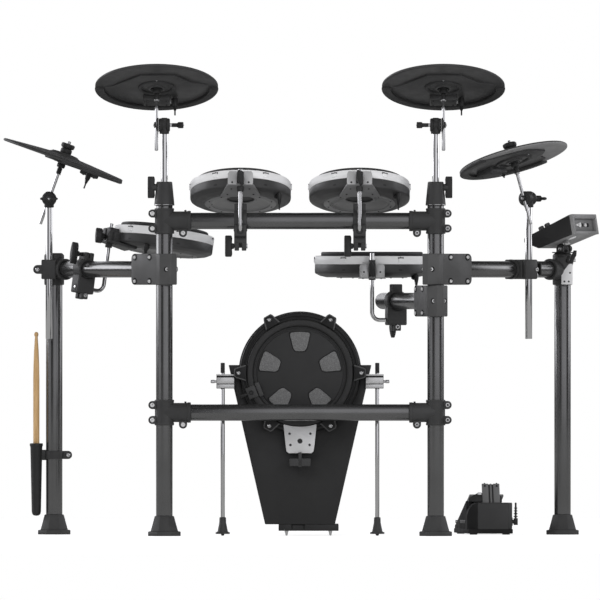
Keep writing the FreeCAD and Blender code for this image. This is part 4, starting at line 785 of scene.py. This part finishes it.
# Kick drum
kickSpec = {"middle": (0, 62, 375), "radius": 138.6, "inner": 129.6, "deep": 100, "lugs": 6, "windows": 5, "spurX": 178,
            "spurLong": 378}
face = at(*kickSpec["middle"]) @ tip(90)
radius, inner, deep = (kickSpec[key] for key in ("radius", "inner", "deep"))
kickY, kickZ = kickSpec["middle"][1:]
kickShell = Piece("kick_shell")
kickShell.add(lathe([(inner, -deep), (radius, -deep), (radius, -14), (inner, -14)], 120, 0.6), shellBlack, face)
kickShell.done("kick", "shell_plastic")
hoops = Piece("kick_hoops")
hoops.add(lathe([(108, -14), (radius, -14), (radius, -7), (137.2, -4.2), (134, -3), (131, -3), (130, -4.4), (128, -4.4),
                 (127, -3), (123.5, -3), (123.5, -8), (108, -8)], 120, 0.6), hoopBlack, face)
hoops.add(lathe([(108, -9), (123.2, -9), (123.2, -2), (121, 1.6), (119, 2), (112, 2), (109.6, 1), (108, -1)], 120, 0.8),
          ringBlack, face)
hoops.add(tube(141.6, 122.6, 11.8, 1.4, 120, -113), gripBlack, face)
claw = [(-19, 124.5), (19, 124.5), (12, 147), (9, 151.6), (-9, 151.6), (-12, 147)]
for i in range(kickSpec["lugs"]):
    spot = face @ at(turn=60 * i + 30)
    hoops.add(slab(claw, 8, 1.4, 0, -3, 3), clampGrey, spot)
    # near-black inlay on each lug: painted shade inside the lug, leaving the grey rim as a lighter outline
    hollow = [(-15.6, 124.6), (15.6, 124.6), (9.4, 146), (7, 149.4), (-7, 149.4), (-9.4, 146)]
    hoops.add(slab(hollow, 0.6, 0.2, 0, 4.7), hoopBlack, spot)
    hoops.add(capHead(4.6, 4), boltSteel, spot @ at(0, 141, 5))
    hoops.add(rod(3.2, 114, 0.3, 20), chrome, spot @ at(0, 146.1, -117))
    hoops.add(block((-7, 132.6, -117), (7, 151.6, -113), 1.2), gripBlack, spot)
spot = face @ at(turn=112)  # jack box on the rim with its lead socket
hoops.add(block((-17, 96, -1), (17, 107, 4), 2, 3), shellBlack, spot)
hoops.add(block((-14, 108, 0), (14, 131, 5), 2, 3), shellBlack, spot)
hoops.add(tube(5.4, 2.6, 2.6, 0.4, 28), darkSteel, spot @ at(0, 121, 5))
hoops.add(rod(4.2, 16, 0.6, 24), gripBlack, spot @ at(0, 131, 0) @ alongY)
hoops.done("kick", "black_plastic")
panel = Piece("kick_rear_panel")
panel.add(lathe([(0, -14), (107.9, -14), (107.9, -8), (104, -8), (102.6, -9.4), (100, -9.4), (98.6, -8), (0, -8)], 120, 0.5),
          ringBlack, face)
window = [(-10.5, 50), (10.5, 50), (15.5, 57), (23.4, 89), (20, 93), (0, 94.5), (-20, 93), (-23.4, 89), (-15.5, 57)]
for i in range(kickSpec["windows"]):
    spot = face @ at(turn=72 * i)
    panel.add(slab([(x * 1.14, 72 + (y - 72) * 1.12) for x, y in window], 1.6, 0.5, 4, -9.3), hoopBlack, spot)
    panel.add(slab(window, 1.4, 0.4, 4, -8.6), foam, spot)
panel.done("kick", "shell_plastic")
core = Piece("kick_foam")
core.add(lathe([(0, -deep), (129.5, -deep), (129.5, -14.2), (0, -14.2)], 96, 1), foam, face)
core.done("kick", "foam")
skin = Piece("kick_head")
skin.add(lathe([(0, -101.2), (137.6, -101.2), (137.6, -deep), (0, -deep)], 120, 0.2), meshHead, face)
skin.done("kick", "mesh")

tower = Piece("kick_tower")
cradle = [(-80.5, 26), (80.5, 26), (164.5, 393)] + arc(138.7, 7.45, -187.45, 41, kickZ) + [(-164.5, 393)]
tower.add(slab(cradle, 36, 1.6, 0, -118), towerPaint, tip(90))
tower.done("kick", "tower_paint")

brackets = Piece("kick_brackets")
yoke = [(-26, 190), (26, 190), (31, 194), (33, 206), (38, 254)] + arc(124, -72.5, -107.5, 13, kickZ)
yoke += [(-38, 254), (-33, 206), (-31, 194)]
brackets.add(slab(yoke, 3, 0.7, 0, -65), plateSteel, tip(90))
brackets.add(block((-26, 65, 194), (26, 82, 228), 1), darkSteel)
# each hole is a flat black disc in a steel ring: the black is painted shade standing in for the bore
for across, up, size in ((24, 140, 2.7), (-24, 140, 2.7), (22, 166, 2.7), (-22, 166, 2.7), (0, 157, 5.6)):
    spot = at(across, kickY, kickZ - up) @ tip(90)
    brackets.add(rod(size, 0.25, 0.1, 28), gripBlack, spot)
    brackets.add(tube(size + 0.8, size, 0.35, 0.1, 28), boltSteel, spot)
for low, high in ((-24.5, -2.2), (2.2, 24.5)):  # wing bolt below the yoke
    brackets.add(block((low, 47, 160), (high, 62, 178), 2.2, 3), blackNylon)
brackets.add(block((-4, 50, 158), (4, 66, 192), 1.4), blackNylon)
brackets.add(rod(4, 30, 0.4, 24), darkSteel, at(0, 55, 169) @ alongY)
for sign in (-1, 1):
    spot = at(0, 74, 355, 0 if sign > 0 else 180)
    brackets.add(block((151, -8, -16), (192.5, 8, 17), 1, 2), hoopBlack, spot)
    for low, high in ((-15, -6.4), (-4.8, 9.4), (13.4, 16.8)):  # bright ribs with dark lines between: painted highlights and painted dark reflections of the chrome bracket
        for near, away in ((-9, -6), (6, 9)):
            brackets.add(block((151.6, near, low), (192, away, high), 0.6), paleCastAndHighlight, spot)
    brackets.add(rod(3, 14, 0.3, 20), chrome, spot @ at(186) @ alongX)
    for i in range(5):
        brackets.add(lathe([(2.6, 0), (3.4, 0.5), (2.6, 1)], 20, 0), chrome, spot @ at(192.5 + i) @ alongX)
    brackets.add(lathe([(0, 0), (4, 0), (4, 7), (3, 9), (0, 9)], 12, 0.4), chrome, spot @ at(197) @ alongX)
    name = "kick_spur_" + ("left" if sign < 0 else "right")
    spur = Piece(name)
    place = at(sign * kickSpec["spurX"], 74, 0)
    spur.add(rod(4.75, kickSpec["spurLong"], 1.2, 32, 20), chrome, place)
    spur.add(lathe([(0, 4), (16, 4), (16.7, 5), (16.7, 7.6), (12, 9.6), (8, 30), (7.6, 41), (6.6, 42.6), (0, 42.6)], 44, 0.8),
             footRubber, place)
    spur.add(rod(4.9, 24.6, 1.2, 32, 373.6), gripBlack, place)  # dipped upper end
    spur.add(lathe([(0, 0), (2.6, 0), (4.5, 4), (4.5, 5), (0, 5)], 28, 0.3), darkSteel, place)
    spur.done(name, "chrome")
brackets.done("kick", "plate_steel")
sole = Piece("kick_pedal_plate")
outline = [(-49.5, 82), (-20, 82), (-17, 87), (8, 87), (11, 82), (89, 82), (89, 297), (-49.5, 297)]
sole.add(slab(outline, 15, 1.4, 0, 11), towerPaint)
sole.add(block((-40, 96, 25.6), (80, 290, 26.6), 0.5), gripBlack)
for i in range(7):
    sole.add(block((-36, 108 + 24 * i, 26.4), (76, 112 + 24 * i, 27.6), 0.5), gripBlack)
for across, along in ((-31, 12), (70, 12), (-31, 200), (70, 200)):
    sole.add(lathe([(0, 0), (2, 0), (5, 12), (5, 13), (0, 13)], 28, 0.3), boltSteel, at(across, 82 + along, 0))
sole.done("kick", "tower_paint")
print("kick done")

# Foot controller
pedalSpec = {"place": (441, 300, 0, 7), "hinge": (0, 250, 28), "rise": -17.5}
pedal = at(*pedalSpec["place"])
base = Piece("hihat_pedal_base")
put = base.onto(pedal)
put(slab([(-30, 0), (41, 0), (52, 14), (52, 55), (-30, 55)], 62, 2.2, 0, 12, 3), blackNylon)
flank = [(12, -52), (44, -52), (58, -48), (68, -41), (74, -31)]  # rounded left shoulder
put(loft([[(x, 24 - (x + 52) * 0.8, z), (-29, 0.4, z), (-29, 55, z), (x, 55, z)] for z, x in flank]), mattBlack)
put(block((-52, 0, 2.5), (52, 262, 13), 1.6), mattBlack)
put(block((-52.4, 60, 26), (-49, 150, 33), 0.8), darkSteel)
swing = Matrix(((0, 0, 1, 0), (1, 0, 0, 0), (0, 1, 0, 0), (0, 0, 0, 1)))
cheeks = {-50: [(54, 12), (262, 12), (260, 20), (240, 24), (60, 78), (54, 78)], 46: [(54, 12), (262, 12), (262, 34), (242, 39),
                                                                                     (54, 66)]}
for low, cheek in cheeks.items():
    put(slab(cheek, 4, 1, 0, low), mattBlack, swing)
put(block((38, 18, 20), (54, 38, 40), 1.6), gripBlack)
put(rod(4, 100, 0.6, 28), chrome, at(-50, 250, 28), alongX)
put(lathe([(0, 0), (14, 0), (9, 26), (6, 27), (0, 27)], 32, 1), footRubber, at(0, 120, 13))
put(rod(4.5, 10, 0.5, 24), gripBlack, at(54, 28, 30), alongX)
put(rod(2.2, 48, 0.6, 20, -4), gripBlack, at(62, 28, 30))
put(rod(5, 16, 1.2, 28, -8), gripBlack, at(62, 28, 30))
for i in range(4):  # ribs of the lead's strain relief
    put(rod(4.6 - 0.3 * i, 3, 0.8, 28, 10.5 + 6.4 * i), gripBlack, at(62, 28, 30))
for across, along in ((-38, 16), (38, 16), (-38, 246), (38, 246)):
    put(rod(9, 5.4, 0.8, 32), footRubber, at(across, along, 0))
base.done("hihat_pedal", "black_plastic")
hinge = pedal @ at(*pedalSpec["hinge"]) @ tip(pedalSpec["rise"])
board = Piece("hihat_footboard")
put = board.onto(hinge)
put(block((-40, -185, 4), (40, 4, 10), 1.6), panelGrey)
for i in range(9):
    put(block((-34, -168 + 18 * i, 9.6), (34, -162 + 18 * i, 11), 0.6), gripBlack)
put(tube(9, 4.1, 76, 0.8, 36), panelGrey, at(-38), alongX)
put(slab([(-43, -9), (-42, 1), (-20, 13), (20, 13), (34, 5), (36, -9)], 9, 1.4, 0, 178), gripBlack, tip(90))
for low, high in ((-10.5, 4.4), (7.8, 12.2), (15.6, 30.5)):
    put(block((low, -191, -25), (high, -185, 34), 1), panelGrey)
put(block((-10, -188.4, -24), (30, -185, 33), 0.5), gripBlack)
put(block((-21, -190, 7), (-12, -184, 13), 1), boltSteel)
for across in (-4, 24):
    put(rod(1.8, 5, 0.4, 20), darkSteel, at(across, -188, 31))
    put(capHead(2.4, 1.2), darkSteel, at(across, -190.8, 28), tip(90))
board.done("hihat_footboard", "tower_paint")

# Sound module
moduleSpec = {"hingeZ": 661.5, "turn": -18.5, "wide": 180, "knobs": {"front": 42, "rear": 58}}
moduleTilt = at(rightLeg.x, rightLeg.y, moduleSpec["hingeZ"], moduleSpec["turn"]) @ tip(90)
case = moduleTilt @ at(-43.4, -1.2, -90)
slope = math.degrees(math.atan2(58, 116.5))
module = Piece("module_case")
put = module.onto(case)
put(slab([(14, 1.6), (95.6, 34), (88.3, 79.9), (-21, 25.5), (-21, 15.5)], moduleSpec["wide"], 2.4, 0, 0, 3), modulePlastic)
put(block((3, -0.5, 3), (94, 2, 177), 0.4), moduleGrey, at(14, 1.6, 0, 21.7))
put(lathe([(0, 0), (11, 0), (10, 1.6), (0, 1.6)], 40, 0.4), hoopWhite, at(14, 1.6, 0, 21.7), at(66, -0.4, 120), tip(90))
rear = case @ at(95.6, 34, 90, 99)
jackFrame = ((0, 46.5, -90, -78), (0, 46.5, 78, 90), (0, 7, -79, 79), (36, 46.5, -79, 79))
for near, away, low, high in jackFrame:
    module.add(block((near, -8, low), (away, 0.4, high), 1.2), moduleGrey, rear)
module.add(block((4, 0, -82), (40, 1.4, 82), 0.6), panelGrey, rear)
# the white rings are painted highlights standing in for the bright metal jack sleeves
for along, size, skin in ((46, 3, hoopWhite), (26, 6, hoopWhite), (6, 4, gripBlack), (-16, 4, hoopWhite), (-34, 4.5, darkSteel)):
    module.add(tube(size, size * 0.5, 4, 0.4, 28), skin, rear @ at(22, 0.4, along) @ tip(90))
for i in range(6):
    put(block((46, 0.1, 20 + 5 * i), (52, 0.9, 22.6 + 5 * i), 0.2), panelGrey, at(-21, 25.5, 0, slope))
put(block((34.4, -2, 77.5), (52.4, 21, 102.5), 1.5), modulePlastic)
put(rod(7, 25, 0.8, 36), modulePlastic, at(43.4, 1.2, 77.5))
module.add(lathe([(0, -4.4), (6, -4), (9, 0), (6, 4), (0, 4.4)], 36, 0.4), boltSteel, at(616, rightLeg.y - 44, 674))
module.done("module", "module_plastic")
top = case @ at(-21, 25.5, 0, slope)
glass = Piece("module_screen")
glass.add(block((70, 0.1, 54), (118, 1.2, 136), 0.4), screenGlass, top)
glass.done("module", "screen")
for label, along in moduleSpec["knobs"].items():
    knob = Piece("module_knob_" + label)
    spot = top @ at(along, 0, 160) @ tip(-90)
    knob.add(lathe([(0, -6), (3, -6), (3, 0.4), (6.5, 0.4), (6.3, 7.6), (5.6, 9), (0, 9)], 40, 0.5), panelGrey, spot)
    for i in range(18):
        knob.add(block((6.0, -0.4, 1.2), (6.8, 0.4, 7.4), 0.2), gripBlack, spot @ at(turn=20 * i))
    knob.add(block((1.5, -0.5, 8.8), (5.4, 0.5, 9.25), 0.15), hoopWhite, spot)
    knob.done("module_knob_" + label, "knob")
bracket = Piece("module_bracket")
floorY = armZ + 38 - moduleSpec["hingeZ"]
bracket.add(block((-18, floorY, -24), (18, floorY + 2.4, 24), 0.8), darkSteel, moduleTilt)
for near in (-20, 13):
    bracket.add(slab([(-9, floorY), (9, floorY)] + arc(9, 0, 180, 13), 7, 0.8, 0, near), blackNylon, moduleTilt)
bracket.add(rod(4, 68, 0.5, 28, -46), chrome, moduleTilt)
bracket.add(lathe([(0, -46), (8.4, -46), (9.5, -44.5), (9.5, -34), (8.4, -32), (0, -32)], 16, 0.5), gripBlack, moduleTilt)
bracket.done("right_arm", "black_plastic")
print("controller and module done")


# Stage, light and camera
floorSpec = {"radius": 4, "middle": (0.312, 0.2, 0), "seen": 0.78, "glow": 0.34}


def makeFloor():
    mesh = bpy.data.meshes.new("floor")
    shape = bmesh.new()
    bmesh.ops.create_circle(shape, cap_ends=True, segments=96, radius=floorSpec["radius"],
                            matrix=Matrix.Translation(floorSpec["middle"]))
    shape.to_mesh(mesh)
    shape.free()
    floor = bpy.data.objects.new("floor", mesh)
    scene.collection.objects.link(floor)
    skin = Finish("floor_pale", grey(0.6), 0.8)
    skin.tint(skin.noise(0.6, 2.0), grey(0.58), grey(0.62))
    glow = skin.make("ShaderNodeEmission")
    path = skin.make("ShaderNodeLightPath")
    share = skin.make("ShaderNodeMapRange", To_Min=floorSpec["glow"], To_Max=floorSpec["seen"])
    skin.link(path.outputs["Is Camera Ray"], share, "Value")
    skin.link(share.outputs["Result"], glow, "Strength")
    both = skin.make("ShaderNodeAddShader")
    skin.link(skin.shader.outputs["BSDF"], both, 0)
    skin.link(glow.outputs["Emission"], both, 1)
    dim = skin.make("ShaderNodeEmission", Color=(*grey(floorSpec["glow"]), 1), Strength=1.0)
    mix = skin.make("ShaderNodeMixShader")
    skin.link(path.outputs["Is Glossy Ray"], mix, 0)
    skin.link(both.outputs["Shader"], mix, 1)
    skin.link(dim.outputs["Emission"], mix, 2)
    skin.link(mix.outputs["Shader"], skin.tree.nodes["Material Output"], "Surface")
    mesh.materials.append(skin.mat)


def makeWorld():
    world = bpy.data.worlds.new("studio")
    scene.world = world
    world.use_nodes = True
    nodes, links = world.node_tree.nodes, world.node_tree.links

    def combine(how, first, second):
        item = nodes.new("ShaderNodeMath")
        item.operation = how
        for socket, source in zip(item.inputs, (first, second)):
            if isinstance(source, (int, float)):
                socket.default_value = source
            else:
                links.new(source, socket)
        return item.outputs["Value"]

    def ramp(source, stops):
        item = nodes.new("ShaderNodeValToRGB")
        band = item.color_ramp
        while len(band.elements) < len(stops):
            band.elements.new(0.5)
        for stop, (spot, level) in zip(band.elements, stops):
            stop.position = spot
            stop.color = (level, level, level * 1.02, 1)
        links.new(source, item.inputs["Fac"])
        return item.outputs["Color"]

    split = nodes.new("ShaderNodeSeparateXYZ")
    links.new(nodes.new("ShaderNodeTexCoord").outputs["Generated"], split.inputs["Vector"])
    turn = combine("ARCTAN2", split.outputs["X"], combine("MULTIPLY", split.outputs["Y"], -1.0))
    around = combine("ADD", combine("MULTIPLY", turn, 1 / math.tau), 0.5)  # 0.5 faces the lens
    panels = ramp(around, [(0.0, 0.04), (0.25, 0.03), (0.285, 0.62), (0.355, 0.62), (0.375, 0.03), (0.45, 0.03), (0.475, 0.64),
                           (0.645, 0.74), (0.668, 0.03), (0.752, 0.03), (0.765, 0.6), (0.80, 0.6), (0.815, 0.08), (0.90, 0.04)])
    rise = combine("ADD", combine("MULTIPLY", split.outputs["Z"], 0.5), 0.5)
    fall = ramp(rise, [(0.30, 0.35), (0.48, 0.9), (0.62, 1.0), (0.84, 1.0), (0.93, 0.25)])
    sides = ramp(around, [(0.0, 0.4), (0.04, 0.4), (0.11, 0.4), (0.14, 1.0), (0.23, 1.0), (0.255, 0.0), (0.755, 0.0),
                          (0.768, 0.5), (0.86, 0.5), (0.89, 0.1)])
    band = ramp(rise, [(0.52, 0.0), (0.545, 1.0), (0.70, 1.0), (0.78, 0.0)])  # side panels hang above the lens height

    def blend(how, first, second):
        item = nodes.new("ShaderNodeMixRGB")
        item.blend_type = how
        item.inputs[0].default_value = 1.0
        links.new(first, item.inputs[1])
        if isinstance(second, tuple):
            item.inputs[2].default_value = second
        else:
            links.new(second, item.inputs[2])
        return item.outputs["Color"]

    edges = blend("MULTIPLY", blend("MULTIPLY", sides, band), (3.0, 3.0, 3.0, 1))
    soft = nodes["Background"]
    links.new(blend("ADD", blend("MULTIPLY", panels, fall), edges), soft.inputs["Color"])
    seen = nodes.new("ShaderNodeBackground")
    seen.inputs["Color"].default_value = (1, 1, 1, 1)
    for light in (soft, seen):
        light.inputs["Strength"].default_value = 1.0
    path = nodes.new("ShaderNodeLightPath")
    mix = nodes.new("ShaderNodeMixShader")
    links.new(path.outputs["Is Camera Ray"], mix.inputs[0])
    links.new(soft.outputs["Background"], mix.inputs[1])
    links.new(seen.outputs["Background"], mix.inputs[2])
    links.new(mix.outputs["Shader"], nodes["World Output"].inputs["Surface"])


def lamp(name, where, target, wide, high, watts):
    light = bpy.data.lights.new(name, "AREA")
    light.shape = "RECTANGLE"
    light.size, light.size_y, light.energy = wide, high, watts
    thing = bpy.data.objects.new(name, light)
    thing.location = where
    thing.rotation_euler = (Vector(target) - Vector(where)).to_track_quat("-Z", "Y").to_euler()
    thing.visible_glossy = False  # broad front lamps leave no spikes on the tubes
    scene.collection.objects.link(thing)


makeFloor()
makeWorld()
lamp("key", (-1.4, -3.0, 2.6), (0.3, 0, 0.6), 1.6, 1.6, 52)
lamp("fill", (2.8, -2.6, 1.4), (0.3, 0, 0.5), 1.0, 1.8, 34)
shot = {"x": 0.312, "far": 55, "width": 1.38, "height": 0.5428}
camera = bpy.data.cameras.new("photo_view")
camera.sensor_width = 36
camera.lens = 36 * shot["far"] / shot["width"]
camera.clip_start, camera.clip_end = 1, 200
eye = bpy.data.objects.new("photo_view", camera)
eye.location = (shot["x"], -shot["far"], shot["height"])
eye.rotation_euler = (math.radians(90), 0, 0)
scene.collection.objects.link(eye)
scene.camera = eye
scene.view_settings.view_transform = "Standard"
print("stage ready")
